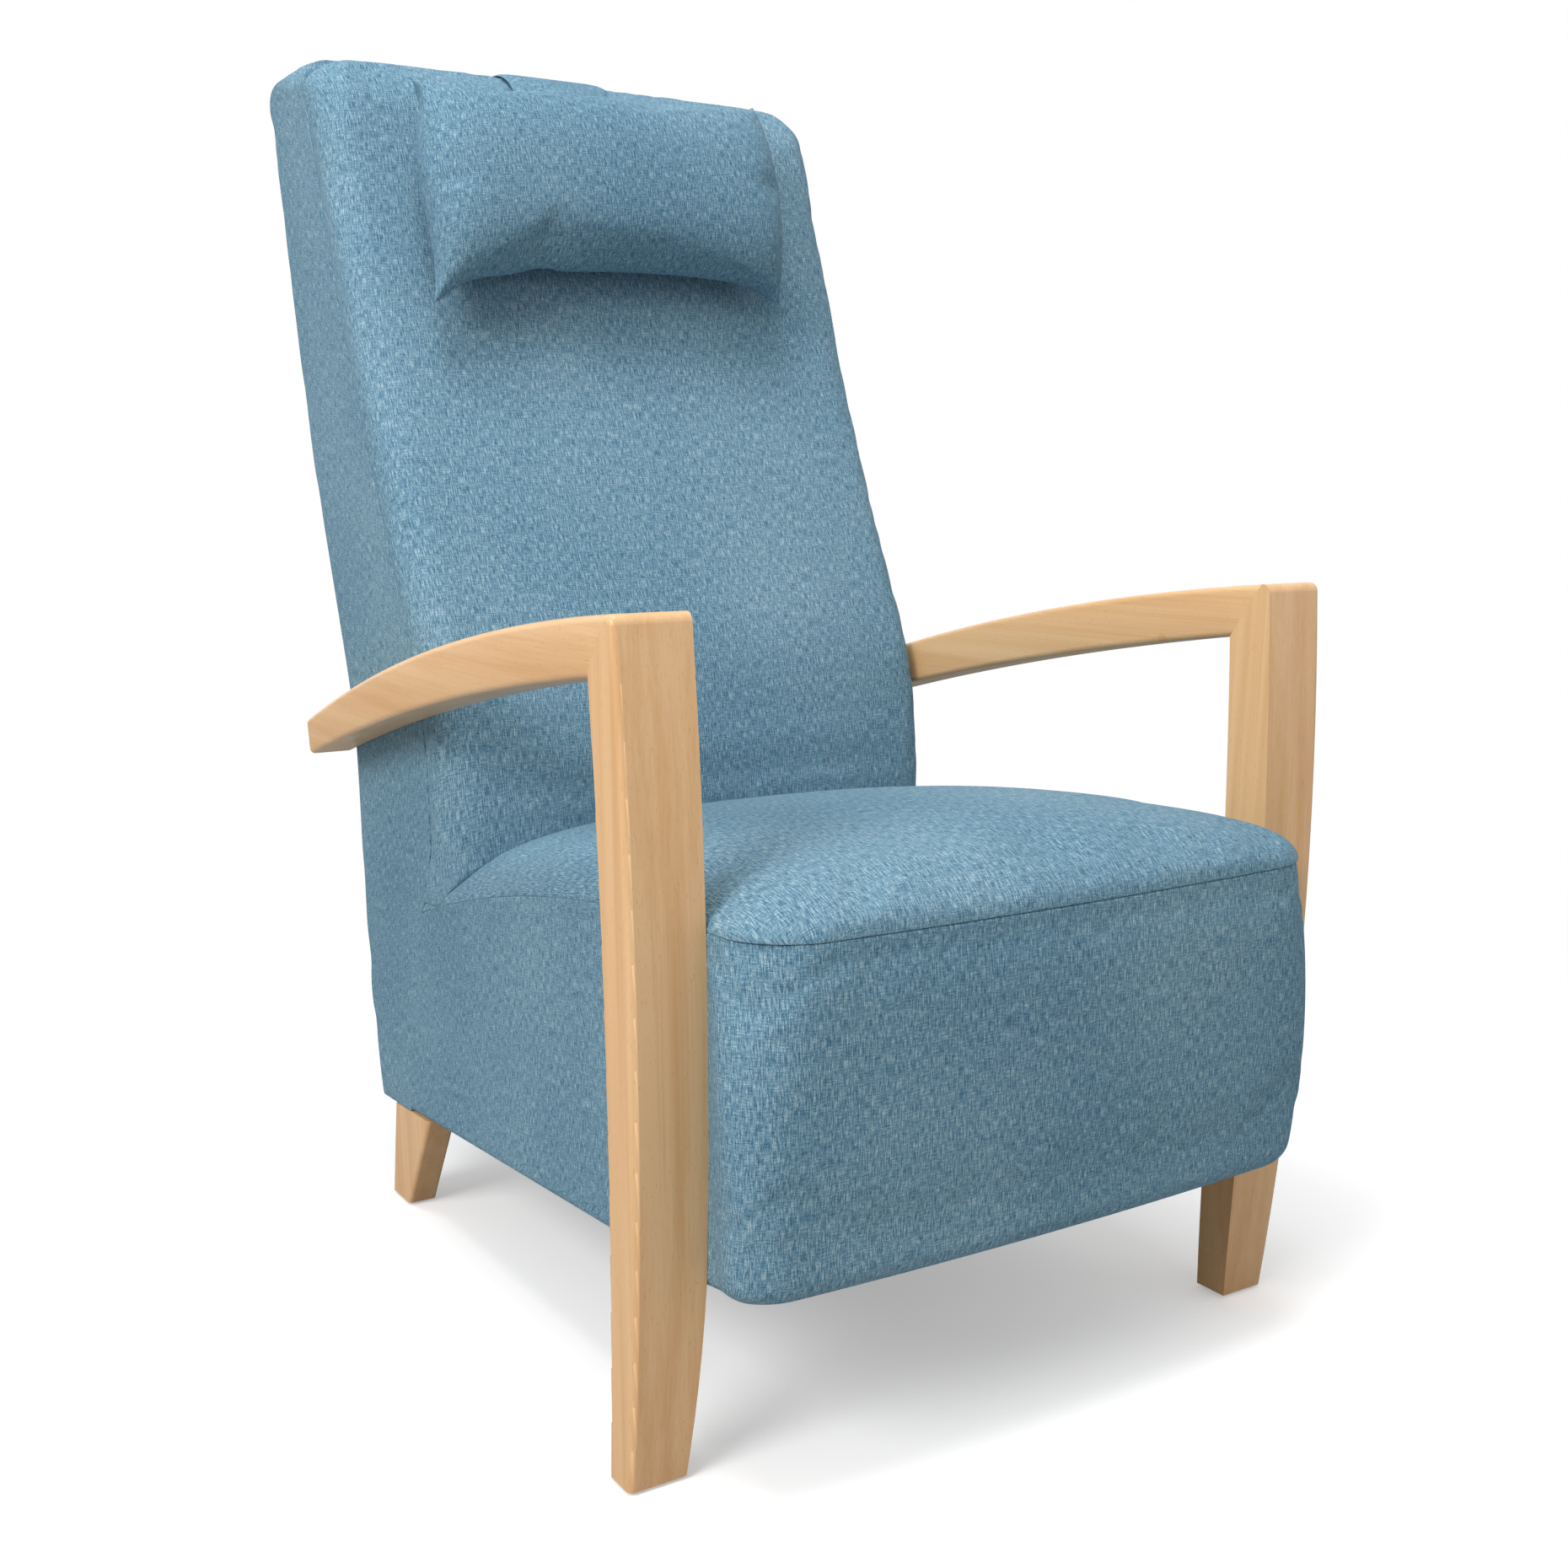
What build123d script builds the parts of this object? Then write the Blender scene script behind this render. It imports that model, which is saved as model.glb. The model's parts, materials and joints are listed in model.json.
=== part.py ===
from build123d import *
import os
from math import acos, atan2, cos, hypot, pi, radians, sin

os.makedirs("parts", exist_ok=True)

# High-back easy chair: bowed beech posts with mitred, curved arms, an upholstered seat box
# and back, and a neck pillow that hangs over the back on a counterweighted strap.
# Millimetres. X runs to the viewer's right, Y to the rear, Z up. The origin is on the floor,
# under the middle of the chair's box. "Left" is the -X side.

# Overall sizes
overall_width = 660.0
overall_height = 1109.0
overall_depth = 914.0

# Wooden side frames
post_width = 60.0
post_foot_width = 48.6
post_top_depth = 38.0
post_foot_depth = 32.0
post_front_bow = 17.0
post_rear_bow = 10.0
post_foot_set_back = 3.0
post_setback = 88.0
post_corner = 8.0
arm_height = 636.0
arm_thickness = 43.5
arm_tip_setback = 132.0
arm_drop = 139.0
arm_top_bow = 21.0
arm_under_bow = 13.0
arm_tip_thickness = 34.0
arm_tip_width = 44.0
arm_tip_rounding = 9.0
wood_edge = 5.0
taper_share = 0.37

# Seat box
belly_front_height = 161.0
belly_rear_height = 103.0
seam_front_height = 423.0
seam_rear_height = 329.0
seam_bow = 26.0
seat_crown = 53.0
seat_roll = 19.0
front_pad = 28.0
front_crown = 10.0
front_corner = 26.0
side_pad = 14.0
board = 22.0
rail = 24.0
rear_rail_height = 62.0
lining = 0.3

# Back
back_reach = 384.0
back_pad = 46.0
back_crown = 10.0
back_edge = 22.0
rear_pad = 18.0
rear_corner = 13.0
back_top_radius = 34.0
back_rail_height = 60.0
web_width = 55.0
web_thickness = 2.0
web_count = 5

# Rear legs
leg_width = 30.0
leg_top_depth = 92.0
leg_foot_depth = 46.0
leg_top_setback = 204.0
leg_rake = 68.0
leg_corner = 4.0

# Springs
spring_count = 5
spring_wire = 3.8
spring_pitch = 40.0
spring_width = 56.0
clip_length = 10.0
clip_wall = 1.5

# Fasteners, feet and lining cloth
bolt = 8.0
bolt_head = 16.0
bolt_head_height = 5.0
bolt_head_sides = 6
bolt_sides = 12
bolt_play = 0.2
bolt_grip = 28.0
dowel = 10.0
dowel_length = 34.0
dowel_play = 0.1
glide = 22.0
glide_height = 3.0
glide_sides = 16
glue_block = 30.0
glue_block_height = 120.0
cloth = 1.5

# Neck pillow, strap and counterweight
pillow_width = 380.0
pillow_height = 190.0
pillow_thickness = 78.0
pillow_edge = 9.0
pillow_offset = -22.0
pillow_tilt = 2.0
pillow_lean = 9.0
pillow_clear = 3.0
strap_width = 110.0
strap_thickness = 3.0
strap_corner = 24.0
weight_height = 64.0
weight_thickness = 18.0
weight_wall = 2.5
weight_drop = 330.0
soft_gap = 0.3

# Levels and planes that the pieces share
half_width = overall_width / 2
inner_face = half_width - post_width
body_half = inner_face - lining
board_outer = body_half - side_pad
board_inner = board_outer - board
front_y = -overall_depth / 2
post_y = front_y + post_setback
board_front_y = front_y + front_crown + front_pad
arm_length = overall_depth - post_setback - arm_tip_setback
strap_y = overall_depth / 2
rear_y = strap_y - strap_thickness - soft_gap
lumbar_y = rear_y - back_reach
back_top = overall_height - strap_thickness - soft_gap

# Side view of the back: corners as shares of its reach (front to rear) and of its height over
# the rear end of the seat seam, each with the share of the shorter straight beside it that its
# rounding takes up. Negative heights are shares of the drop from there to the belly.
front_shares = [(0.000, 0.050, 0), (0.000, 0.249, 0.51), (0.379, 0.637, 0.24), (0.572, 0.940, 0)]
slab_shares = [
    (0.360, -1.000, 0), (0.323, -0.410, 0.17), (0.122, 0.081, 0.18), (0.120, 0.249, 0.61),
    (0.499, 0.637, 0.20), (0.731, 1.000, 0),
]
rear_shares = [
    (0.600, -1.000, 0), (0.664, -0.327, 0.20), (0.664, 0.215, 0.21), (0.919, 0.636, 0.79),
]
pillow_seat_shares = (0.500, 0.830)
belly_rear_y = lumbar_y + rear_shares[0][0] * back_reach


def belly_height(y):
    """Height of the sloping underside at y."""
    share = (y - front_y) / (belly_rear_y - front_y)
    return belly_front_height + share * (belly_rear_height - belly_front_height)


def side_point(reach_share, height_share):
    """A point of the back's side view, as (y, z)."""
    y = lumbar_y + reach_share * back_reach
    end = back_top if height_share > 0 else belly_height(y)
    return (y, seam_rear_height + abs(height_share) * (end - seam_rear_height))


def side_line(shares):
    """Corners of a side-view line with their roundings, as (y, z, share)."""
    return [(*side_point(reach, height), rounding) for reach, height, rounding in shares]


def shifted(corners, shift):
    return [(corner[0] + shift, *corner[1:]) for corner in corners]


front_line = side_line(front_shares)
slab_line = side_line(slab_shares)
rear_line = side_line(rear_shares)
rear_line.append((rear_y, back_top - back_top_radius, 0))
slab_foot, slab_bend, slab_lumbar = slab_line[:3]
slab_top = slab_line[-1][:2]
belly_rear = rear_line[0][:2]
seam_rise_share = (seam_rear_height - slab_bend[1]) / (slab_lumbar[1] - slab_bend[1])
seam_rear_y = slab_bend[0] + (slab_lumbar[0] - slab_bend[0]) * seam_rise_share
neck_lean = atan2(front_line[-1][0] - front_line[-2][0], front_line[-1][1] - front_line[-2][1])
crest_radius = (back_top - front_line[-1][1]) / (1 - sin(neck_lean))
crest_y = front_line[-1][0] + crest_radius * cos(neck_lean)
crest_z = back_top - crest_radius


def crest_point(turn, forward=0.0, raise_by=0.0):
    """Point on the arc that turns the leaning front over onto the flat top, turn from upright."""
    radius = crest_radius + raise_by
    return (crest_y - forward - radius * sin(turn), crest_z + radius * cos(turn))


def toward(corner, other, length):
    """Point at a length from one corner on the way to another."""
    run, rise = other[0] - corner[0], other[1] - corner[1]
    share = length / hypot(run, rise)
    return (corner[0] + run * share, corner[1] + rise * share)


def bent_line(corners):
    """Straights through the corners, joined by tangent arcs. Returns its ends."""
    at = corners[0][:2]
    for before, corner, after in zip(corners, corners[1:], corners[2:]):
        runs = [(corner[0] - before[0], corner[1] - before[1])]
        runs.append((after[0] - corner[0], after[1] - corner[1]))
        trim = corner[2] * min(hypot(*run) for run in runs)
        start, end = toward(corner, before, trim), toward(corner, after, trim)
        Line(at, start)
        TangentArc(start, end, tangent=runs[0])
        at = end
    Line(at, corners[-1][:2])
    return corners[0][:2], corners[-1][:2]


def arc_through(start, end, bow):
    """Middle point of the arc from start to end that swells by bow to its left."""
    run, rise = end[0] - start[0], end[1] - start[1]
    length = hypot(run, rise)
    middle_y = (start[0] + end[0]) / 2 - bow * rise / length
    middle_z = (start[1] + end[1]) / 2 + bow * run / length
    return (middle_y, middle_z)


def arc_height(start, end, bow, y):
    """Height at y of that arc, or of the circle beyond its ends."""
    chord = hypot(end[0] - start[0], end[1] - start[1])
    radius = (chord**2 / 4 + bow**2) / (2 * bow)
    centre = arc_through(start, end, bow - radius)
    return centre[1] + (radius**2 - (y - centre[0]) ** 2) ** 0.5


seam_start = (front_y, seam_front_height)
seam_end = (seam_rear_y, seam_rear_height)
seam_middle = arc_through(seam_start, seam_end, seam_bow)
seam_tilt = atan2(seam_end[1] - seam_start[1], seam_end[0] - seam_start[0])


def seam_height(y):
    """Height of the arched seat seam at y."""
    return arc_height(seam_start, seam_end, seam_bow, y)


def save(piece, name):
    piece.part.label = name
    export_step(piece.part, f"parts/{name}.step")


def save_pair(piece, name):
    """Writes the right-hand piece and its mirror image."""
    save(piece, f"{name}_right")
    with BuildPart() as other:
        add(mirror(piece.part, about=Plane.YZ))
    save(other, f"{name}_left")


# Places of the bolts in the side view, as (y, z)
post_centre_y = post_y + (post_top_depth - post_front_bow) / 2
post_bolt_places = [
    (post_centre_y, belly_front_height + (seam_front_height - belly_front_height) * share)
    for share in (0.2, 0.47)
]


def arm_middle(share):
    """Middle of the arm in the side view, at a share of its length."""
    y = post_y + arm_length * share
    start = (post_y, arm_height - arm_thickness / 2)
    end = (post_y + arm_length, arm_height - arm_drop - arm_tip_thickness / 2)
    bow = (arm_top_bow + arm_under_bow) / 2
    return (y, start[1] + (end[1] - start[1]) * share + 4 * bow * share * (1 - share))


arm_bolt_places = [arm_middle(share) for share in (0.86, 0.94)]
leg_bolt_x = (board_outer + body_half - leg_width) / 2
leg_bolt_shares = (0.28, 0.72)
leg_top_y = strap_y - leg_top_setback - leg_top_depth
leg_bolt_ys = [leg_top_y + leg_top_depth * share for share in leg_bolt_shares]

# The mitre runs from the inside corner under the arm to the top, near the post's front
mitre_low = (post_y + post_top_depth, arm_height - arm_thickness)
mitre_high = (post_y + post_corner, arm_height)
mitre_middle = ((mitre_low[0] + mitre_high[0]) / 2, (mitre_low[1] + mitre_high[1]) / 2)
mitre_run = (mitre_low[0] - mitre_high[0], mitre_high[1] - mitre_low[1])
mitre_length = hypot(*mitre_run)
dowel_direction = (0, mitre_run[1] / mitre_length, mitre_run[0] / mitre_length)
mitre_plane = Plane(origin=(inner_face, *mitre_middle), x_dir=(1, 0, 0), z_dir=dowel_direction)
dowel_xs = [inner_face + post_width * share for share in (0.3, 0.7)]


def dowel_planes():
    """Planes on the mitre, square to the dowels of the right-hand joint."""
    return [
        Plane(origin=(x, *mitre_middle), x_dir=(1, 0, 0), z_dir=dowel_direction)
        for x in dowel_xs
    ]


def cut_dowel_holes():
    for plane in dowel_planes():
        with BuildSketch(plane) as hole:
            Circle(dowel / 2 + dowel_play)
        depth = dowel_length / 2 + dowel_play
        extrude(hole.sketch, amount=depth, both=True, mode=Mode.SUBTRACT)


def cut_side_holes(places, start, depth):
    """Bolt holes along +X, from the plane x = start."""
    for y, z in places:
        plane = Plane(origin=(start, y, z), x_dir=(0, 1, 0), z_dir=(1, 0, 0))
        with BuildSketch(plane) as hole:
            Circle(bolt / 2 + bolt_play)
        extrude(hole.sketch, amount=depth, mode=Mode.SUBTRACT)


def cut_leg_bolt_holes():
    for y in leg_bolt_ys:
        with BuildSketch(Plane.XY.offset(belly_height(y) - bolt_grip)) as hole:
            with Locations((leg_bolt_x, y)):
                Circle(bolt / 2 + bolt_play)
        extrude(hole.sketch, amount=2 * bolt_grip, mode=Mode.SUBTRACT)


# Front post: side view swept across, then cut to the taper of its front view
post_top = (post_y, arm_height)
post_foot = (post_y + post_foot_set_back, glide_height)
post_heel = (post_foot[0] + post_foot_depth, glide_height)
with BuildPart() as front_post:
    with BuildSketch(Plane.YZ.offset(inner_face)):
        with BuildLine():
            ThreePointArc(post_foot, arc_through(post_foot, post_top, post_front_bow), post_top)
            Polyline(post_top, mitre_high, mitre_low)
            ThreePointArc(mitre_low, arc_through(mitre_low, post_heel, -post_rear_bow), post_heel)
            Line(post_heel, post_foot)
        make_face()
    extrude(amount=post_width)
    with BuildSketch(Plane.XZ.offset(-post_y - post_width)):
        with BuildLine():
            foot_inner = half_width - post_foot_width
            Line((inner_face, belly_front_height), (inner_face, glide_height))
            Line((inner_face, glide_height), (foot_inner, glide_height))
            taper_x = inner_face + (foot_inner - inner_face) * taper_share
            ThreePointArc(
                (foot_inner, glide_height), (taper_x, belly_front_height / 2),
                (inner_face, belly_front_height),
            )
        make_face()
    extrude(amount=2 * post_width, mode=Mode.SUBTRACT)
    top_edge = front_post.edges().filter_by(Axis.X).sort_by_distance((half_width, *post_top))[0]
    fillet(top_edge, post_corner * 0.9)
    outer_face = front_post.faces().filter_by(Axis.X).sort_by(Axis.X)[-1]
    long_edges = outer_face.edges().filter_by(lambda edge: edge.length > arm_height / 2)
    fillet(long_edges, wood_edge)
    cut_dowel_holes()
    cut_side_holes(post_bolt_places, inner_face, bolt_grip)
save_pair(front_post, "front_post")

# Armrest: sections with rounded corners, arched in the side view and tapered in plan. They
# start before the mitre, so that the rounded edges run on through its cut.
arm_tip_y = post_y + arm_length
tip_top = (arm_tip_y - arm_tip_rounding / 2, arm_height - arm_drop)
tip_low = (arm_tip_y - arm_tip_rounding, arm_height - arm_drop - arm_tip_thickness)
tip_middle = arc_through(tip_top, tip_low, arm_tip_rounding / 2)
arm_section_count = 11
arm_corner_facets = 3
arm_start_y = post_y - 2 * post_corner
arm_section_step = (arm_tip_y + arm_tip_rounding - arm_start_y) / (arm_section_count - 1)
arm_taper = (post_width - arm_tip_width) / (arm_tip_y - mitre_high[0])


def rounded_points(width, height, radius, facets):
    """Corners of a rectangle about the origin whose corners are rounded in facets."""
    points = []
    for quarter, (side_x, side_y) in enumerate([(1, 1), (-1, 1), (-1, -1), (1, -1)]):
        for index in range(facets + 1):
            turn = pi / 2 * (quarter + index / facets)
            x = side_x * (width / 2 - radius) + radius * cos(turn)
            points.append((x, side_y * (height / 2 - radius) + radius * sin(turn)))
    return points


def arm_section(y):
    """Rounded rectangle across the arm at y."""
    top = arc_height(mitre_high, tip_top, arm_top_bow, y)
    under = arc_height(mitre_low, tip_low, arm_under_bow, y)
    width = post_width - arm_taper * (y - mitre_high[0])
    corners = rounded_points(width, top - under, wood_edge, arm_corner_facets)
    with BuildSketch(Plane.XZ.offset(-y)) as section:
        with BuildLine() as outline:
            Polyline(
                *[(inner_face + width / 2 + x, (top + under) / 2 + z) for x, z in corners],
                close=True,
            )
        make_face(outline.line)
    return section.sketch


with BuildPart() as armrest:
    arm_ys = [arm_start_y + arm_section_step * index for index in range(arm_section_count)]
    loft([arm_section(y) for y in arm_ys], ruled=True)
    with BuildSketch(Plane.YZ):
        with BuildLine():
            beyond = arm_tip_y + 2 * arm_tip_rounding
            ThreePointArc(tip_top, tip_middle, tip_low)
            Polyline(tip_low, (tip_low[0], 0), (beyond, 0), (beyond, arm_height))
            Polyline((beyond, arm_height), (tip_top[0], arm_height), tip_top)
        make_face()
    extrude(amount=half_width, mode=Mode.SUBTRACT)
    split(bisect_by=mitre_plane, keep=Keep.TOP)
    cut_dowel_holes()
    cut_side_holes(arm_bolt_places, inner_face, bolt_grip)
save_pair(armrest, "armrest")

# Dowels of both mitres
with BuildPart() as mitre_dowels:
    for plane in dowel_planes():
        with BuildSketch(plane):
            Circle(dowel / 2)
        extrude(amount=dowel_length / 2, both=True)
    mirror(about=Plane.YZ)
save(mitre_dowels, "mitre_dowels")

# Rear leg: raked and tapered, its top cut along the belly
leg_outer = body_half
leg_inner = leg_outer - leg_width
leg_top = [(y, belly_height(y)) for y in (leg_top_y, leg_top_y + leg_top_depth)]
leg_foot_y = leg_top_y + leg_rake
with BuildPart() as rear_leg:
    with BuildSketch(Plane.YZ.offset(leg_inner)):
        with BuildLine():
            Polyline(
                *leg_top,
                (leg_foot_y + leg_foot_depth, glide_height),
                (leg_foot_y, glide_height),
                close=True,
            )
        make_face()
    extrude(amount=leg_width)
    upright_edges = rear_leg.edges().filter_by(Axis.X, reverse=True).filter_by(
        lambda edge: abs(edge.tangent_at(0).Z) > abs(edge.tangent_at(0).Y)
    )
    fillet(upright_edges, leg_corner)
    cut_leg_bolt_holes()
save_pair(rear_leg, "rear_leg")


# Glides under the four feet
glide_places = [
    (half_width - post_foot_width / 2, post_foot[0] + post_foot_depth / 2),
    (leg_outer - leg_width / 2, leg_foot_y + leg_foot_depth / 2),
]
with BuildPart() as floor_glides:
    with BuildSketch(Plane.XY):
        with Locations(*glide_places):
            RegularPolygon(glide / 2, glide_sides)
    extrude(amount=glide_height)
    chamfer(floor_glides.edges().group_by(Axis.Z)[0], glide_height / 4)
    mirror(about=Plane.YZ)
save(floor_glides, "floor_glides")


def box_outline(start_y):
    """Side view of the seat box from start_y to behind the seam's rear end."""
    start_low = (start_y, belly_height(start_y))
    start_top = (start_y, seam_height(start_y))
    middle_y = (start_y + seam_rear_y) / 2
    with BuildLine() as outline:
        Polyline(start_top, start_low, belly_rear, seam_end)
        ThreePointArc(seam_end, (middle_y, seam_height(middle_y)), start_top)
    make_face(outline.line)


def region(front_corners, rear_corners):
    """Face between two lines of the side view, both given from low to high."""
    with BuildLine() as outline:
        low_front, high_front = bent_line(front_corners)
        low_rear, high_rear = bent_line(rear_corners)
        Line(low_front, low_rear)
        Line(high_front, high_rear)
    make_face(outline.line)


# Outer form of the back behind its cushion, which the panels and the frame are cut from
top_rear = (rear_y - back_top_radius, back_top)
top_bend = back_top_radius * (1 - cos(pi / 4))
with BuildPart() as back_block:
    with BuildSketch(Plane.YZ):
        with BuildLine():
            bent_line(slab_line)
            Line(slab_top, top_rear)
            ThreePointArc(top_rear, (rear_y - top_bend, back_top - top_bend), rear_line[-1][:2])
            bent_line(rear_line)
            Line(belly_rear, slab_foot[:2])
        make_face()
    extrude(amount=body_half, both=True)

# What lies in front of the rear panel, and what lies in front of the slab
pad_line = shifted(rear_line, -rear_pad)
with BuildPart() as before_rear_panel:
    with BuildSketch(Plane.YZ):
        with BuildLine():
            below, above = bent_line(pad_line)
            Polyline(above, (above[0], overall_height), (front_y, overall_height))
            Polyline((front_y, overall_height), (front_y, 0), (below[0], 0), below)
        make_face()
    extrude(amount=half_width, both=True)

with BuildPart() as before_slab:
    with BuildSketch(Plane.YZ):
        with BuildLine():
            below, above = bent_line(slab_line)
            Polyline(above, (above[0], overall_height), (front_y, overall_height))
            Polyline((front_y, overall_height), (front_y, below[1]), below)
        make_face()
    extrude(amount=half_width, both=True)

# Seat side panels and boards
with BuildPart() as seat_side_panel:
    with BuildSketch(Plane.YZ.offset(board_outer)):
        box_outline(board_front_y)
    extrude(amount=side_pad)
    add(back_block.part, mode=Mode.SUBTRACT)
    cut_side_holes(post_bolt_places, board_outer, side_pad)
save_pair(seat_side_panel, "seat_side_panel")

with BuildPart() as seat_side_board:
    with BuildSketch(Plane.YZ.offset(board_inner)):
        box_outline(board_front_y)
    extrude(amount=board)
    add(back_block.part, mode=Mode.SUBTRACT)
    cut_side_holes(post_bolt_places, board_inner, board)
    cut_leg_bolt_holes()
save_pair(seat_side_board, "seat_side_board")

# Front panel: crowned face with rounded corners, trimmed to seam and belly
with BuildPart() as seat_front_panel:
    with BuildSketch(Plane.XY):
        with BuildLine() as front_outline:
            corner_y = front_y + front_crown
            Line((body_half, board_front_y), (body_half, corner_y))
            ThreePointArc((body_half, corner_y), (0, front_y), (-body_half, corner_y))
            Line((-body_half, corner_y), (-body_half, board_front_y))
            Line((-body_half, board_front_y), (body_half, board_front_y))
        make_face()
    extrude(amount=seam_front_height + seam_bow)
    fillet(seat_front_panel.edges().filter_by(Axis.Z).group_by(Axis.Y)[0], front_corner)
    with BuildSketch(Plane.YZ):
        with BuildLine():
            rear_edge = board_front_y
            middle = (front_y + rear_edge) / 2
            low_round = front_pad / 2
            low_front = (front_y + low_round, belly_height(front_y + low_round))
            low_side = (front_y, belly_height(front_y) + low_round)
            round_middle = low_round * (1 - cos(pi / 4))
            low_middle = (front_y + round_middle, belly_height(front_y) + round_middle)
            Line((rear_edge, belly_height(rear_edge)), low_front)
            ThreePointArc(low_front, low_middle, low_side)
            Line(low_side, (front_y, seam_height(front_y)))
            ThreePointArc(
                (front_y, seam_height(front_y)),
                (middle, seam_height(middle)),
                (rear_edge, seam_height(rear_edge)),
            )
            Line((rear_edge, seam_height(rear_edge)), (rear_edge, belly_height(rear_edge)))
        make_face()
    extrude(amount=half_width, both=True, mode=Mode.INTERSECT)
save(seat_front_panel, "seat_front_panel")

# Front board and rear rail carry the springs, whose clips lie under the cushion
clip_bore = spring_wire / 2 + lining / 2
clip_radius = clip_bore + clip_wall
spring_gap = 2 * clip_radius + 3 * lining
front_board_top = seam_height(board_front_y) - spring_gap
with BuildPart() as seat_front_board:
    with BuildSketch(Plane.YZ):
        with BuildLine():
            board_rear_y = board_front_y + board
            Polyline(
                (board_front_y, belly_height(board_front_y)),
                (board_rear_y, belly_height(board_rear_y)),
                (board_rear_y, seam_height(board_rear_y) - spring_gap),
                (board_front_y, front_board_top),
                close=True,
            )
        make_face()
    extrude(amount=board_inner, both=True)
save(seat_front_board, "seat_front_board")

rear_rail_y = seam_rear_y - rail
with BuildPart() as seat_rear_rail:
    with BuildSketch(Plane.YZ):
        with BuildLine():
            rail_top = [(y, seam_height(y) - spring_gap) for y in (rear_rail_y, seam_rear_y)]
            rail_low = [(y, z - rear_rail_height) for y, z in reversed(rail_top)]
            Polyline(*rail_top, *rail_low, close=True)
        make_face()
    extrude(amount=board_inner, both=True)
save(seat_rear_rail, "seat_rear_rail")

# Glue blocks in the four corners of the seat box
with BuildPart() as corner_blocks:
    block_places = [
        (board_front_y + board, glue_block, front_board_top - glue_block_height),
        (rear_rail_y, -glue_block, seam_height(rear_rail_y) - spring_gap - rear_rail_height),
    ]
    for corner_at, reach, base in block_places:
        height = glue_block_height if reach > 0 else rear_rail_height * 0.8
        with BuildSketch(Plane.XY.offset(base)):
            with BuildLine():
                Polyline(
                    (board_inner, corner_at),
                    (board_inner - glue_block, corner_at),
                    (board_inner, corner_at + reach),
                    close=True,
                )
            make_face()
        extrude(amount=height * 0.9)
    mirror(about=Plane.YZ)
save(corner_blocks, "corner_blocks")

# Dust cover, stapled under the boards
with BuildPart() as dust_cover:
    with BuildSketch(Plane.YZ):
        with BuildLine():
            cover_front = board_front_y
            cover_rear = belly_rear_y - rear_pad
            front_low = (cover_front, belly_height(cover_front))
            rear_low = (cover_rear, belly_height(cover_rear))
            Polyline(
                front_low,
                rear_low,
                (cover_rear, rear_low[1] - cloth),
                (cover_front, front_low[1] - cloth),
                close=True,
            )
        make_face()
    extrude(amount=leg_inner - lining, both=True)
save(dust_cover, "dust_cover")

# Zig-zag springs: bars across, on the arch of the cushion's underside, joined by half rings
wire_lift = clip_radius + lining
wire_sides = 4
clip_sides = 6
spring_turn_shares = (0, 0.25, 0.75, 1)
spring_start_y = board_front_y + board / 2
spring_end_y = seam_rear_y - rail / 2
bar_count = round((spring_end_y - spring_start_y) / spring_pitch) + 1
bar_step = (spring_end_y - spring_start_y) / (bar_count - 1)
bars = [
    (y, seam_height(y) - wire_lift)
    for y in [spring_start_y + bar_step * index for index in range(bar_count)]
]
spring_step = 2 * board_inner / spring_count
spring_xs = [spring_step * (index - (spring_count - 1) / 2) for index in range(spring_count)]


def spring_path(middle_x):
    """One unbroken wire: bars joined at alternate ends by square-cut turns."""
    bar_half = (spring_width - bar_step) / 2
    corners = [(middle_x - bar_half, *bars[0])]
    for index, (start, end) in enumerate(zip(bars, bars[1:])):
        side = 1 if index % 2 == 0 else -1
        near_x, far_x = middle_x + side * bar_half, middle_x + side * spring_width / 2
        for share in spring_turn_shares:
            y, z = (a + (b - a) * share for a, b in zip(start, end))
            corners.append((far_x if 0 < share < 1 else near_x, y, z))
    corners.append((middle_x - side * bar_half, *bars[-1]))
    with BuildLine() as path:
        Polyline(*corners)
    return path


with BuildPart() as seat_springs:
    for middle_x in spring_xs:
        path = spring_path(middle_x)
        with BuildSketch(Plane(origin=path.line @ 0, z_dir=path.line % 0)):
            RegularPolygon(spring_wire / 2, wire_sides)
        sweep(path=path.line, transition=Transition.RIGHT)
save(seat_springs, "seat_springs")

# Clips that hold each spring's end bars on the rails
with BuildPart() as spring_clips:
    for y, z in (bars[0], bars[-1]):
        for middle_x in spring_xs:
            with BuildSketch(Plane.YZ.offset(middle_x - clip_length / 2)):
                with Locations((y, z)):
                    RegularPolygon(clip_radius, clip_sides)
                    RegularPolygon(clip_bore, clip_sides, major_radius=False, mode=Mode.SUBTRACT)
            extrude(amount=clip_length)
save(spring_clips, "spring_clips")

# Padded rear, top and side panels of the back
with BuildPart() as back_rear_panel:
    add(back_block.part)
    rear_edges = back_rear_panel.faces().filter_by(Axis.X).edges().filter_by(
        lambda edge: edge.center().Y > belly_rear_y and edge.center().Z < back_top - rear_corner
    )
    fillet(rear_edges, rear_corner)
    add(before_rear_panel.part, mode=Mode.SUBTRACT)
save(back_rear_panel, "back_rear_panel")

inside_top = back_top - rear_pad
top_cut = Plane.XY.offset(inside_top)
with BuildPart() as back_top_panel:
    add(back_block.part)
    add(before_rear_panel.part, mode=Mode.INTERSECT)
    split(bisect_by=top_cut, keep=Keep.TOP)
save(back_top_panel, "back_top_panel")

with BuildPart() as back_side_panel:
    add(back_block.part)
    add(before_rear_panel.part, mode=Mode.INTERSECT)
    split(bisect_by=top_cut, keep=Keep.BOTTOM)
    split(bisect_by=Plane.YZ.offset(board_outer), keep=Keep.TOP)
    cut_side_holes(arm_bolt_places, board_outer, side_pad)
save_pair(back_side_panel, "back_side_panel")

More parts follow.
